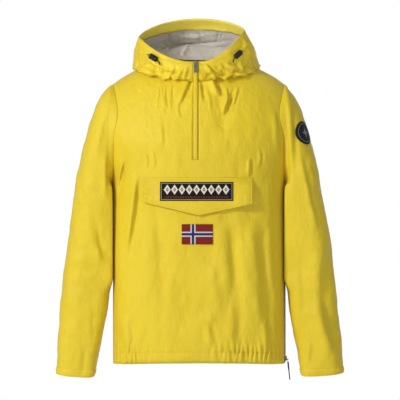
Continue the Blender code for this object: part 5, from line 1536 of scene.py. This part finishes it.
@dataclass
class Hood(Assembly):
    """The hood's three shell pieces, its facing and its mesh lining."""

    spans: int = 160
    rows: int = 92
    facing_rows: int = 9
    lining_rows: int = 46
    turn_in: float = 0.0016
    rim_stitch: float = 0.985
    fold_gain: float = 1.6
    scallop_gain: float = 1.8
    pleat_gain: float = 1.7
    heart: ClassVar[Array] = np.array([0.0, 0.04, 0.03])
    scallops: ClassVar[Table] = table("side turn share depth turn_width share_width slant", """
        -1 .1 .25 .003 .016 .2 0; -1 .17 .34 .004 .02 .18 .1; -1 .25 .38 .004 .022 .18 .12;
        -1 .35 .45 .0035 .03 .22 .1; -1 .46 .5 .003 .026 .26 .05; -1 .57 .52 .0035 .03 .28 0;
        -1 .7 .55 .004 .034 .26 -.05; -1 .84 .52 .004 .03 .24 -.05; 1 .07 .28 .004 .016 .22 0;
        1 .13 .34 .0045 .016 .2 .05; 1 .19 .34 .0045 .018 .2 .1; 1 .27 .4 .004 .02 .2 .12;
        1 .37 .46 .0035 .028 .24 .1; 1 .48 .5 .003 .026 .26 .05; 1 .6 .52 .0035 .03 .28 0;
        1 .73 .56 .004 .034 .26 -.05; 1 .9 .5 .004 .03 .24 -.05""")
    lobes: ClassVar[Table] = table("x drop forward width", """
        -.116 .009 .003 .014; -.086 .015 .0045 .015; -.056 .007 .003 .012; .04 .005 .004 .009; .066 .011 .008 .011;
        .094 .007 .009 .01; .122 .0095 .009 .013""")
    folds: ClassVar[Table] = table(FOLD, """
        -55.1 9.5 -66.9 -14.1 -85.8 -37.7 2.2 3.5 2.5 1.5; -36.1 7.2 -48 -16.5 -64.5 -37.7 1.8 3.5 2.5 1.2;
        -78.7 9.5 -90.5 -7 -100 -25.9 1.6 3.5 2.5 1; -111.8 16.6 -104.7 .1 -114.2 -16.5 1.4 4 3 1;
        -128.3 45 -121.2 21.4 -130.7 -2.3 1.4 5 3.5 .8; -26.7 7.2 -33.8 -11.7 -36.1 -35.4 2.5 4 2.5 2;
        13 9 33 -4 45 -36 5.5 6 3 5; 30 -3 49 -26 87 -31 4 6 3 3; 62 14 77 0 96 2 4 6 4 2.5;
        79 16 87 4 94 -8 3 4 2.5 2; 96 14 103 2 108 -13 3 4 2.5 2; 103 80 118 49 124 21 3 5 3 2;
        -97 -8 -126 2 -149 16 3.5 5 3 2.5; -55 -8 -93 2 -121 21 3 5 3 2; -38 -20 -64 -26 -93 -17 3.5 5 3 2.5;
        -107 -22 -118 -22 -130 -14 4 5 2.5 4; 34.8 7.2 53.7 -7 77.3 -23.6 -3 3 4 -2;
        53.7 11.9 49 -7 58.4 -25.9 2 4 2.5 1.5; 77.3 11.9 82.1 -7 72.6 -25.9 2 4 2.5 1.5;
        98.6 26.1 96.2 7.2 103.3 -11.7 2 4 3 1.5; 110.4 68.6 108.1 45 98.6 21.4 1.6 3.5 2.5 1;
        119.9 54.4 117.5 30.8 110.4 7.2 1.5 3.5 2.5 1; 129.3 35.5 127 16.6 119.9 -2.3 1.4 3.5 2.5 1;
        -142.5 54.4 -140.2 26.1 -144.9 2.4 1.2 4 3 .6""", 1000.0)
    pleats: ClassVar[Table] = table(FOLD, """
        -77 59 -12 70 87 74 5 9 3 2.5; -72.5 112 -73.5 88 -71 66 -4 2.5 2.5 0; -38 110 -36 90 -39 70 -2 2.5 2.5 0;
        3 112 1 95 4 74 -1.5 2.5 2.5 0; 44 106 47 93 42 76 -3 3 3 0; 53 106 55 94 52 78 -2.6 2.5 2.5 0;
        -46 42 -38 52 -27 64 4 6 2.5 1.5; 20 46 38 56 62 60 3 5 2.5 1.2; -60 96 -30 86 20 92 2.5 6 3 1;
        -95 72 -84 60 -70 50 3 4 2.5 1.5""", 1000.0)

    def __post_init__(self) -> None:
        """Lays out the rows and columns and what the crown's seams divide them into."""
        half = np.linspace(0, 1, self.spans + 1)
        self.share = np.linspace(0, 1, self.rows)
        self.turn = round_the_back(half[None], half[None])[0]
        self.side = np.repeat([Side.RIGHT.value, Side.LEFT.value], [self.spans + 1, self.spans])
        self.edge = self.hood.facing_share(self.turn)
        right, left = (nearest(half, self.hood.crown_seam[side]) for side in Side)
        self.seams = (right, 2 * self.spans - left)
        firsts, lasts = (0, *self.seams), (*self.seams, 2 * self.spans)
        self.parts = {name: slice(first, last + 1)
                      for name, first, last in zip(("right", "crown", "left"), firsts, lasts)}

    def dress(self, points: Array) -> Array:
        """Adds scalloped folds and unevenness to the shell, fading at its seams and rim."""
        share = np.broadcast_to(self.share[:, None], points.shape[:2])
        points = self.hang(points, share)
        out = outward(points, self.heart)
        depth = np.zeros(points.shape[:2])
        for row in named_rows(self.scallops):
            line = row["turn"] + row["slant"] * (share - row["share"])
            beside = hump(self.turn, line, row["turn_width"]) * (self.side == row["side"])
            depth += self.scallop_gain * row["depth"] * beside * hump(share, row["share"], row["share_width"])
        faces_front = smooth(0.1, 0.5, -out[..., 1]) * smooth(0.02, -0.01, points[..., 1])
        depth -= self.fold_gain * raised_folds(self.folds, points[..., 0], points[..., 2]) * faces_front
        uneven = 0.0022 * layered_noise(points, 0.045, 67) + 0.0011 * layered_noise(points, 0.018, 71, 2)
        depth += uneven * (smooth(0.0, 0.15, share) * smooth(0.0, 0.1, 1 - share))
        depth += 0.0008 * hump(share, self.edge, 0.012)
        return points - out * (depth * smooth(0.0, 0.12, share))[..., None]

    def hang(self, points: Array, share: Array) -> Array:
        """Lets the overhang in front droop in lobes over the body, and sinks the seam beside the zip."""
        x, y, z = (points[..., axis] for axis in range(3))
        low = hump(share, 0.25, 0.15) * smooth(0.0, 0.1, share) * smooth(0.03, -0.02, y)
        drop, forward = np.zeros_like(x), np.zeros_like(x)
        for row in named_rows(self.lobes):
            beside = hump(x, row["x"], row["width"]) * low
            drop += row["drop"] * beside
            forward += row["forward"] * beside
        hung = np.stack([x, y - forward, z - drop], -1)
        on_body = self.torso.depth_y(x, hung[..., 2], Face.FRONT) - 0.003
        hung[..., 1] = np.where(drop > 0.0015, np.minimum(hung[..., 1], on_body), hung[..., 1])
        hung[..., 1] += 0.003 * hump(x, 0.004, 0.024) * smooth(0.2, 0.0, share) * smooth(0.0, -0.05, y)
        return hung

    def build(self) -> None:
        """Builds the shell, facing and lining."""
        grid = self.dress(self.hood.shell(self.spans, self.share))
        out = outward(grid, self.heart)
        for name, part in self.parts.items():
            full = tuck(grid[:, part], out[:, part], tuple(Edge), self.turn_in)
            add_sheet(f"hood_{name}_shell", f"hood_{name}", full, self.heart, self.finishes.shell,
                      wall=TRIM_WALL)
        self.sew(grid, out)
        self.line(grid, out)

    def read(self, grid: Array, wanted: Array) -> tuple[Array, Array]:
        """Reads every column at shares of its own, and gives the row below each as well."""
        low = np.clip(np.searchsorted(self.share, wanted) - 1, 0, len(self.share) - 2)
        mix = ((wanted - self.share[low]) / (self.share[low + 1] - self.share[low]))[..., None]
        column = np.arange(grid.shape[1])
        return grid[low, column] * (1 - mix) + grid[low + 1, column] * mix, low

    def sew(self, grid: Array, out: Array) -> None:
        """Runs stitches along the facing's edge, the rim and both sides of the crown's seams."""
        for wanted in (self.edge, np.full_like(self.edge, self.rim_stitch)):
            row = np.argmin(np.abs(self.share[:, None] - wanted[None]), axis=0)
            self.stitches.add(self.read(grid, wanted)[0], out[row, np.arange(grid.shape[1])])
        for seam in self.seams:
            for column in (seam - 1, seam + 1):
                self.stitches.add(grid[:, column], out[:, column])

    def line(self, grid: Array, out: Array) -> None:
        """Builds the facing inside the rim and the lining below it."""
        steps = np.linspace(0, 1, self.facing_rows)[:, None]
        band, low = self.read(grid, self.edge[None] * (1 - steps) + steps)
        normal = out[low, np.arange(grid.shape[1])]
        facing = band - normal * (0.0022 - 0.0006 * steps[..., None] ** 4)
        # The facing takes the lighter yellow, whose extra brightness is painted light.
        add_sheet("hood_facing_band", "hood_facing", facing, self.heart, self.finishes.facing,
                  wall=TRIM_WALL)
        rows = np.linspace(0, 1, self.lining_rows)
        lining = self.hood.lining_points(self.spans, rows, band[0] - normal[0] * 0.0034)
        lining_out = outward(lining, self.heart)
        loose = layered_noise(lining, 0.04, 83) * 0.003 + layered_noise(lining, 0.016, 89, 2) * 0.0008
        ends = (smooth(0, 0.12, rows) * smooth(0, 0.12, 1 - rows))[:, None]
        pleats = raised_folds(self.pleats, lining[..., 0], lining[..., 2]) * smooth(0.0, 0.03, lining[..., 1])
        lining = lining - lining_out * ((loose + self.pleat_gain * pleats) * ends)[..., None]
        for name, part in self.parts.items():
            full = tuck(lining[:, part], -lining_out[:, part], (Edge.FIRST_COLUMN, Edge.LAST_COLUMN), 0.0015)
            add_sheet(f"hood_lining_{name}_mesh", f"hood_lining_{name}", full, self.heart, self.finishes.lining,
                      wall=LINING_WALL)


@dataclass
class PocketFlap(Assembly):
    """The chest pocket's flap with its stitched edge, its label and the flag patch below."""

    top_z: float = -0.258
    top_right_x: float = -0.1395
    low_right_x: float = -0.13
    left_x: float = 0.125
    right_z: float = -0.316
    left_z: float = -0.319
    point_x: float = -0.0015
    point_z: float = -0.346
    across: float = 0.262
    down: float = 0.075
    cloth: float = 0.0015
    lift: float = 0.0006
    stand: float = 0.0062
    stand_left: float = 0.011
    trim: float = 0.001
    sewn: int = 3
    heart: ClassVar[Array] = np.array([0.0, 0.0, -0.3])

    def low_edge(self, x: Array) -> Array:
        """Height of the flap's lower edge at x, lowest at its blunt point."""
        return np.interp(x, [self.low_right_x, self.point_x, self.left_x], [self.right_z, self.point_z, self.left_z])

    def off_front(self, x: Array, down: Array) -> Array:
        """How far the flap's face is from the front's: it stands off towards its free edges."""
        at_left = self.stand_left * smooth(0.06, 0.125, x) * smooth(0.0, 0.35, down)
        return self.cloth + self.lift + self.stand * smooth(0.0, 1.0, down) + at_left

    def face(self, x: Array, z: Array, raised: Array | float) -> Array:
        """Points over the front's face, raised from it."""
        return np.stack([x, self.torso.depth_y(x, z, Face.FRONT) - raised, z], -1)

    def waves(self, points: Array, down: Array) -> Array:
        """How far the flap waves in and out below its top edge."""
        return 0.0013 * layered_noise(points, (0.04, 0.05, 0.03), 91) * smooth(0, 0.3, down)

    def flap_grid(self) -> Array:
        """Face of the flap, with puckers at its right end and grooves along its stitching."""
        u, v = np.meshgrid(np.linspace(0, 1, 170), np.linspace(0, 1, 56))
        right = self.top_right_x + (self.low_right_x - self.top_right_x) * v
        x = right + (self.left_x - right) * u
        z = self.top_z + (self.low_edge(x) - self.top_z) * v
        points = self.face(x, z, self.off_front(x, v))
        ripple = np.sin(z * 620 + x * 260 + 12 * cloth_noise(points, 0.018, 5))
        puckers = 0.0013 * ripple * hump(x, right + 0.01, 0.014)
        edge = np.minimum(np.minimum(u * self.across, (1 - u) * self.across), np.minimum(v, 1 - v) * self.down)
        groove = 0.0006 * hump(edge, 0.0045, 0.0014) + 0.0004 * hump(v * self.down, 0.01, 0.0014)
        points[..., 1] += puckers * smooth(0, 0.1, v) + self.waves(points, v) + groove
        return points

    def build(self) -> None:
        """Builds the flap with its turned edges and stitching, the label on it and the flag patch."""
        points = self.flap_grid()
        out = outward(points, self.heart)
        full = tuck(points, out, tuple(Edge), 0.0016)
        add_sheet("pocket_flap_cloth", "pocket_flap", full, self.heart, self.finishes.shell,
                  TRIM_WALL)
        inner = slice(self.sewn, -self.sewn)
        last = -1 - self.sewn
        for line in ((self.sewn, inner), (self.sewn + 4, inner), (last, inner), (inner, self.sewn), (inner, last)):
            self.stitches.add(points[line], out[line])
        x, z, edge = LABEL.grid(90, 26)
        down = (z - self.top_z) / (self.low_edge(x) - self.top_z)
        points = self.face(x, z, self.off_front(x, down) + self.trim + 0.0005 * smooth(0, 0.0015, edge))
        points[..., 1] += self.waves(points, down)
        self.lay("flap_label", points, 0.0008, LabelFinish("woven_label", LABEL), Slot.BLACK_CLOTH,
                 "pocket_flap_cloth")
        x, z, edge = FLAG.grid(52, 34)
        points = self.face(x, z, self.trim + self.lift + 0.0006 * smooth(0, 0.0018, edge))
        points[..., 1] += 0.0004 * layered_noise(points, (0.03, 0.03, 0.03), 97, 2)
        self.lay("flag_patch", points, 0.0014, FlagFinish("woven_flag", FLAG), Slot.FLAG, "front_panel")

    def lay(self, node: str, points: Array, deep: float, finish: Finish, slot: Slot, on: str) -> None:
        """Lays a woven patch in the place of its node, with all its edges turned in."""
        full = tuck(points, outward(points, self.heart), tuple(Edge), deep)
        add_sheet(f"{node}_weave", node, full, self.heart, finish.make(self.finishes.groups),
                  PATCH_WALL)


@dataclass
class ArmBadge(Assembly):
    """The round badge on the left sleeve, a disc that follows it."""

    radius: float = 0.0285
    turn: float = 0.382
    reach: float = 0.13
    lift: float = 0.0018
    spokes: int = 40
    step: float = 1e-4
    rounds: int = 9
    rings: ClassVar[Array] = np.array([0.06, 0.25, 0.45, 0.65, 0.8, 0.9, 0.97, 1.0])

    def places(self, wanted: Array) -> Array:
        """Places on the sleeve whose offsets in the plane at the badge's middle are the wanted ones.

        Args:
            wanted: Offsets across and up, in metres.

        Returns:
            The points, found by Newton steps.
        """
        form = SleeveForm(Side.LEFT, self.torso)
        turn, reach = np.full(len(wanted), self.turn), np.full(len(wanted), self.reach)
        middle = form.at(turn[:1], reach[:1])[0]
        plane: Array | None = None
        for _ in range(self.rounds):
            here = form.at(turn, reach)
            by_turn = (form.at(turn + self.step, reach) - here) / self.step
            by_reach = (form.at(turn, reach + self.step) - here) / self.step
            if plane is None:
                out = unit(np.cross(by_turn[0], by_reach[0]))
                up = unit(np.array([0.0, 0.0, 1.0]) - out[2] * out)
                plane = np.stack([np.cross(up, out), up])
            grid = np.stack([by_turn @ plane.T, by_reach @ plane.T], -1)
            move = np.linalg.solve(grid, (wanted - (here - middle) @ plane.T)[..., None])[..., 0]
            turn, reach = turn + move[:, 0], reach + move[:, 1]
        return form.at(turn, reach)

    def build(self) -> None:
        """Builds the badge, with a map of its own that has its middle at zero."""
        ring, spoke = np.meshgrid(self.rings, circle(self.spokes), indexing="ij")
        wanted = self.radius * np.stack([ring * np.cos(spoke), ring * np.sin(spoke)], -1)
        points = self.places(wanted.reshape(-1, 2)).reshape(*ring.shape, 3)
        heart = np.array([0.245, 0.0, -0.15])
        out = outward(points, heart, closed=True)
        points = points + out * (self.lift + 0.0006 * smooth(0.0, 0.05, 1 - self.rings)[:, None])[..., None]
        full = tuck(points, out, (Edge.LAST_ROW,), 0.0016)
        finish = BadgeFinish("rubber_badge", self.radius).make(self.finishes.groups)
        piece = add_sheet("sleeve_badge_disc", "sleeve_badge", full, heart, finish,
                          PATCH_WALL, closed=True, disc=True)
        places = np.concatenate([wanted, wanted[-1:].repeat(ROLLED, 0)]).reshape(-1, 2)
        index = np.empty(len(piece.data.loops), np.int32)
        piece.data.loops.foreach_get("vertex_index", index)
        piece.data.uv_layers.new(name="disc").data.foreach_set("uv", places[index].astype(np.float32).ravel())


@dataclass
class HalfZip(Assembly):
    """The half zip: a covered strip up the front and onto the hood."""

    bottom_z: float = -0.216
    raised: float = 0.0008
    neck_row: float = 0.8
    rows: tuple[int, int] = (150, 40)
    seam_share: float = 0.06
    gap: float = 0.0017
    tooth_pitch: float = 0.0026
    across: ClassVar[Array] = both_ways(0.03, 0.08, 0.2, 0.38, 0.55, 0.7, 0.8, 0.92, 1.0)

    def path(self, rows: Array) -> Array:
        """Line of the zip from its foot (0) over the neckline (0.8) to the rim (1)."""
        torso = self.torso
        first, last = self.bottom_z + torso.seam, torso.neck_front_z - 0.001
        z = first + (last - first) * np.clip(rows / self.neck_row, 0, 1)
        x = np.full_like(z, torso.zip_x)
        low = np.stack([x, torso.depth_y(x, z, Face.FRONT), z], -1)
        share = self.seam_share + (1 - self.seam_share) * np.clip((rows - self.neck_row) / (1 - self.neck_row), 0, 1)
        high = self.hood.half(Side.LEFT, np.array([0.0]), share)[:, 0]
        high[:, 0] = torso.zip_x
        return np.where((rows <= self.neck_row)[:, None], low, high)

    def build(self) -> None:
        """Builds the strip: two tapes that meet over the teeth, each with a stitched outer edge."""
        low, high = self.rows
        rows = np.concatenate([np.linspace(0, self.neck_row, low), np.linspace(self.neck_row, 1, high)[1:]])
        path = self.path(rows)
        slope = np.gradient(path, axis=0)
        out = unit(np.stack([np.zeros(len(path)), -slope[:, 2], slope[:, 1]], -1))
        across, beside = self.across, np.abs(self.across)
        dome = 0.35 + 0.65 * smooth(0.0, 0.9, 1 - beside) + 0.25 * hump(beside, 0.16, 0.12)
        dome -= 0.45 * hump(across, 0.0, 0.03) + 0.25 * hump(beside, 0.66, 0.06)
        dome += 1.3 * smooth(0.6, 0.92, across)
        ripple = 0.0001 * np.sin(run_along(path) * 2 * np.pi / self.tooth_pitch)[:, None] * hump(across, 0.0, 0.3)
        aside = self.torso.zip_half_width * across - self.gap * smooth(0.45, 0.95, across)
        points = path[:, None] + np.stack([aside, 0 * across, 0 * across], -1)
        points = points + out[:, None] * (self.raised * 1.25 * dome + ripple)[..., None]
        heart = np.array([0.0, 0.0, -0.1])
        full = tuck(points, outward(points, heart), (Edge.FIRST_COLUMN, Edge.LAST_COLUMN, Edge.FIRST_ROW), 0.002)
        add_sheet("front_zip_strip", "front_zip", full, heart, self.finishes.shell,
                  wall=TRIM_WALL)
        for column in (2, len(across) - 3):
            self.stitches.add(points[:, column], out)


@dataclass
class SideZip(Assembly):
    """The side vent's zip over the left side seam: black tape and two rows of teeth."""

    top_z: float = -0.5
    half_width: float = 0.0055
    lining: float = 0.0012
    lift: float = 0.0006
    raised: float = 0.0008
    pitch: float = 0.0015
    rows: int = 120
    across: ClassVar[Array] = both_ways(0.3, 0.6, 0.9, 1.0)
    corners: ClassVar[Array] = np.array([[0.0006, -1, -1], [0.0006, 1, -1], [0.0006, 1, 1], [0.0006, -1, 1]])

    def face_x(self, z: Array) -> Array:
        """Gives x of the tape's face at z."""
        return self.torso.centre_x + self.torso.half_width(z) + self.lining + self.lift

    def build(self) -> None:
        """Builds the tape and the teeth."""
        torso = self.torso
        foot = float(torso.hem_z(np.array(torso.centre_x + torso.hem_half_width))) + 0.001
        z = np.linspace(foot, self.top_z, self.rows)
        dome = 0.2 + 0.4 * smooth(0.0, 0.7, 1 - np.abs(self.across))
        x = self.face_x(z)[:, None] + self.raised * dome
        points = np.stack([x, self.half_width * self.across + 0 * x, z[:, None] + 0 * x], -1)
        heart = np.array([0.0, 0.0, -0.6])
        full = tuck(points, outward(points, heart), tuple(Edge), 0.0012)
        add_sheet("side_zip_tape", "side_zip", full, heart, self.finishes.black_cloth,
                  PATCH_WALL)
        tooth = np.stack([self.corners * (-0.3, 0.0013, 0.0005), self.corners * (0.8, 0.001, 0.00035)])
        teeth = []
        for number, height in enumerate(np.arange(foot + 0.003, self.top_z - 0.003, self.pitch)):
            face = float(self.face_x(np.array(height))) + self.raised * 0.6
            teeth.append(np.array([face, 0.0007 if number % 2 else -0.0007, height]) + tooth)
        mesh = joined_mesh("side_zip_teeth", teeth)
        add_piece("side_zip_teeth", mesh, self.finishes.plastic)


@dataclass
class CordLocks(Assembly):
    """The hood's cord locks, each with its cord from the hood through the lock to a free end."""

    radius: float = 0.007
    length: float = 0.0205
    bore: float = 0.002
    cord_radius: float = 0.0014
    exit: float = 0.0205
    step: float = 0.002
    sides: int = 28
    cord_sides: int = 16
    cord_bends: int = 13
    cord_points: int = 64
    places: ClassVar[dict[Side, Key]] = {Side.RIGHT: (0.215, 0.81), Side.LEFT: (0.245, 0.8)}
    swing: ClassVar[dict[Side, float]] = {Side.RIGHT: 8.0, Side.LEFT: 10.0}
    button: ClassVar[Table] = table("out radius", """
        0.003 0.0036; 0.0082 0.0036; 0.0087 0.0033; 0.009 0.0028; 0.0089 0.0018; 0.0087 0.0006""")
    in_lock: ClassVar[Table] = table("along back down", """
        -0.014 0.0012 0; -0.01 0 0; 0 0 0; 0.01 0 0; 0.015 0 0.001; 0.0195 0.0004 0.0034;
        0.0232 0.0008 0.0068""")

    def __post_init__(self) -> None:
        """Works out how far the bore's middle stands off the hood."""
        self.high = self.radius + 0.0003

    def spot(self, side: Side, turn: float, share: float) -> Array:
        """One place on the hood."""
        return self.hood.half(side, np.array([turn]), np.array([share]))[0, 0]

    def place(self, side: Side) -> Matrix:
        """A lock's frame: its bore along local x towards the zip, out of the hood along local -y."""
        turn, share = self.places[side]
        middle = self.spot(side, turn, share)
        along = Vector(self.spot(side, turn - self.step, share) - middle).normalized()
        out = along.cross(Vector(self.spot(side, turn, share + self.step) - middle)).normalized()
        if out.y > 0:
            out.negate()
        turned = Matrix((along, -out, along.cross(-out))).transposed().to_4x4()
        swing = Matrix.Rotation(math.radians(self.swing[side]) * -side.value, 4, "Y")
        return Matrix.Translation(middle) @ turned @ swing

    def route(self, side: Side, place: Matrix) -> Array:
        """Points of a cord: straight out of the hood, over into the lock, and down to its free end."""
        turn, share = self.places[side]
        middle, beside = self.spot(side, turn, share), self.spot(side, turn + self.step, share)
        turn = turn + self.exit / (np.linalg.norm(beside - middle) / self.step)
        leaves = self.spot(side, turn, share)
        beyond, above = self.spot(side, turn + self.step, share), self.spot(side, turn, share + self.step)
        out = np.cross(beyond - leaves, above - leaves)
        out *= (-1 if out[1] > 0 else 1) / np.linalg.norm(out)
        keys = [leaves + out * 0.0003, leaves + out * 0.003]
        keys += [np.array(place @ Vector((row["along"], row["back"] - self.high, side.value * row["down"])))
                 for row in named_rows(self.in_lock)]
        run = run_along(np.stack(keys))
        path = ease(run, np.stack(keys), np.linspace(0.0, run[-1], self.cord_bends))
        run = run_along(path)
        return ease(run, path, np.linspace(0, run[-1], self.cord_points))

    def turned(self, radius: Array) -> tuple[Array, Array]:
        """Gives both ways aside of rings of these radii."""
        angle = circle(self.sides)
        return radius * np.cos(angle), radius * np.sin(angle)

    def shell(self) -> Array:
        """The lock's moulding: a profile of x and radius, the same at both ends, turned round its bore."""
        half, full, bore = self.length / 2, self.radius, self.bore
        groove = full - 0.0005
        end = np.array([
            (half * 0.2, bore), (half, bore), (half + 0.0001, bore + 0.0006), (half, full - 0.0012),
            (half - 0.0005, full - 0.0004), (half - 0.0014, full), (half - 0.004, full), (half - 0.0044, groove),
            (half - 0.0052, groove), (half - 0.0056, full)])
        profile = np.concatenate([end * (-1, 1), end[::-1]])
        profile = np.concatenate([profile, profile[:1]])
        first, second = self.turned(profile[:, 1:])
        return np.stack([profile[:, :1] + 0 * first, first - self.high, second], -1)

    def cap(self) -> Array:
        """The lock's button: a profile turned round the way out of the hood."""
        first, second = self.turned(self.button["radius"][:, None])
        return np.stack([first, -(self.button["out"][:, None] + self.high + 0 * first), second], -1)

    def build(self) -> None:
        """Builds both cords and their locks."""
        for side in Side:
            place = self.place(side)
            turn, shift = np.array(place.to_3x3()), np.array(place.translation)
            lock, name = f"hood_lock_{side.word}", f"hood_cord_{side.word}"
            for part, grid, nodes in (("barrel", self.shell(), (lock,)), ("barrel_button", self.cap(), ())):
                piece = f"{lock}_{part}"
                mesh = joined_mesh(piece, [grid @ turn.T + shift], capped=not nodes)
                add_piece(piece, mesh, self.finishes.plastic, nodes)
            path = self.route(side, place)
            mesh = joined_mesh(f"{name}_braid", [tube(path, self.cord_radius, self.cord_sides)])
            mesh.uv_layers.new(name="runs")
            braid = add_piece(f"{name}_braid", mesh, self.finishes.black_cord, (name,))


@dataclass
class Hardware(Assembly):
    """The sliders and pulls that keep their solids and take a metal or moulded finish."""

    pull_pin: Spot = (0.21222, 0.0, -0.692)
    pull_lean: float = 6.0
    pull_sides: int = 28
    pull: ClassVar[Table] = table("down half_wide half_thick", """
        6 1.6 1.2; 6.6 1.9 1.8; 12 1.9 1.9; 19 1.9 1.9; 21.6 2.4 1.8; 23 4 1.6; 24.2 4.5 1.4; 36 4.6 1.3;
        47 4.5 1.3; 49.2 4.3 1.2; 49.9 3.4 0.8""", 1000.0)

    def build(self) -> None:
        """Gives each slider and pull its finish, and the side zip's pull its moulding."""
        metal, plastic = self.finishes.metal, self.finishes.plastic
        for name, finish in (("front_zip_slider", metal), ("front_zip_tab", metal),
                             ("side_zip_slider", plastic), ("side_zip_pull", plastic)):
            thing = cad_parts[name]
            thing = bpy.data.objects[thing] if isinstance(thing, str) else thing
            for slot in thing.material_slots:
                slot.material = finish
            LOG.info("%s: finish %s", name, finish.name)
        self.mould_side_pull()

    def mould_side_pull(self) -> None:
        """Builds the moulding round the side zip's pull: a round neck below the slider, then a flat grip.

        Each row of the table is a rounded oblong, the wide ones squarer, and the rows follow the pull's lean from
        its pin.
        """
        down, half_wide, half_thick = (self.pull[column][:, None] for column in ("down", "half_wide", "half_thick"))
        angle = circle(self.pull_sides)
        power = 2 / np.where(half_wide > 0.003, 4.0, 2.4)
        thick, wide = (half * np.sign(swing) * np.abs(swing) ** power
                       for half, swing in ((half_thick, np.cos(angle)), (half_wide, np.sin(angle))))
        lean = math.radians(self.pull_lean)
        points = np.array(self.pull_pin) + np.stack([
            down * math.sin(lean) + thick * math.cos(lean), wide, thick * math.sin(lean) - down * math.cos(lean)], -1)
        mesh = joined_mesh("side_zip_pull_moulding", [points])
        mesh.uv_layers.new(name="runs")
        add_piece("side_zip_pull_moulding", mesh, self.finishes.plastic, body="side_pull")


@dataclass(frozen=True)
class Studio:
    """Camera, lights and floor."""

    distance: float = 6.0
    view_x: float = 0.0017
    view_z: float = -0.31
    frame_width: float = 0.96
    sensor: float = 36.0
    ambient: float = 0.4
    floor_z: float = -1.45
    floor_radius: float = 3.8
    floor_corners: int = 96

    def add(self, name: str, data: bpy.types.ID | None, place: Spot = (0.0, 0.0, 0.0)) -> bpy.types.Object:
        """Links a thing at a place."""
        thing = bpy.data.objects.new(name, data)
        thing.location = place
        bpy.context.scene.collection.objects.link(thing)
        return thing

    def camera(self) -> None:
        """Adds the long-lens camera, level and square to the front."""
        lens = bpy.data.cameras.new("camera")
        lens.sensor_width = self.sensor
        lens.lens = self.sensor * self.distance / self.frame_width
        lens.clip_end = 50.0
        camera = self.add("camera", lens, (self.view_x, -self.distance, self.view_z))
        camera.rotation_euler = (math.pi / 2, 0.0, 0.0)
        bpy.context.scene.camera = camera

    def light(self, name: str, place: Spot, size: float, watts: float, aim_z: float = -0.3,
              spread: float = 180.0) -> None:
        """Adds a square area light that faces the garment's middle at one height."""
        lamp = bpy.data.lights.new(name, "AREA")
        lamp.size, lamp.energy, lamp.spread = size, watts, math.radians(spread)
        thing = self.add(name, lamp, place)
        thing.rotation_euler = (Vector((0.0, 0.0, aim_z)) - Vector(place)).to_track_quat("-Z", "Y").to_euler()
        thing.visible_camera = False

    def surround(self) -> None:
        """Adds a white surround, dimmer as a light than it looks."""
        world = bpy.data.worlds.new("white_surround")
        world.use_nodes = True
        net = Wiring(world.node_tree)
        lit = world.node_tree.nodes["Background"]
        net.feed(lit, Color=(1.0, 1.0, 1.0, 1.0), Strength=self.ambient)
        seen = net.take("Background", (1.0, 1.0, 1.0, 1.0), 1.0)
        by_camera = net.node("LightPath").outputs["Is Camera Ray"]
        blend = net.take("MixShader", by_camera, lit.outputs[0], seen)
        net.join(blend, world.node_tree.nodes["World Output"].inputs[0])
        bpy.context.scene.world = world

    def floor(self) -> None:
        """Adds a plain pale floor, a disc far below the hem."""
        count = self.floor_corners
        spoke = circle(count)
        disc = self.floor_radius * np.stack([np.cos(spoke), np.sin(spoke)], -1)
        mesh = bpy.data.meshes.new("floor")
        corners = np.concatenate([disc, np.full((count, 1), self.floor_z)], -1)
        mesh.from_pydata(corners.tolist(), [], [list(range(count))])
        pale, net = start_material("pale_floor")
        share = net.spread(net.noise(net.place(), 4.0, 3.0), 0.3, 0.7)
        net.shade(Base_Color=net.mix(share, (0.8, 0.8, 0.8), (0.84, 0.84, 0.84)), Roughness=0.8)
        mesh.materials.append(pale)
        self.add("floor", mesh)

    def build(self) -> None:
        """Sets up the whole studio."""
        self.camera()
        self.light("key", (-3.6, -3.6, 1.8), 0.6, 176.0)
        self.light("front", (0.6, -5.2, -0.7), 1.2, 34.0)
        self.light("hood", (-0.3, -3.0, -0.9), 0.4, 0.08, 0.14, 5.0)
        self.light("back", (0.6, 5.5, 0.3), 2.4, 110.0)
        self.surround()
        self.floor()
        settings = bpy.context.scene.view_settings
        settings.view_transform = "Standard"
        settings.look = "None"


def main() -> None:
    """Builds the studio and then the garment, piece by piece."""
    logging.basicConfig(level=logging.INFO, format="%(message)s")
    Studio().build()
    torso, finishes, stitches = Torso(), Finishes(SharedGroups()), Stitching("seam_stitching")
    hood = HoodForm(torso)
    for assembly in (CordLocks, BodyPanels, Sleeves, Hood, PocketFlap, ArmBadge, HalfZip, SideZip, Hardware):
        assembly(torso, hood, finishes, stitches).build()
    stitches.build(finishes.thread)


if __name__ == "__main__":
    main()
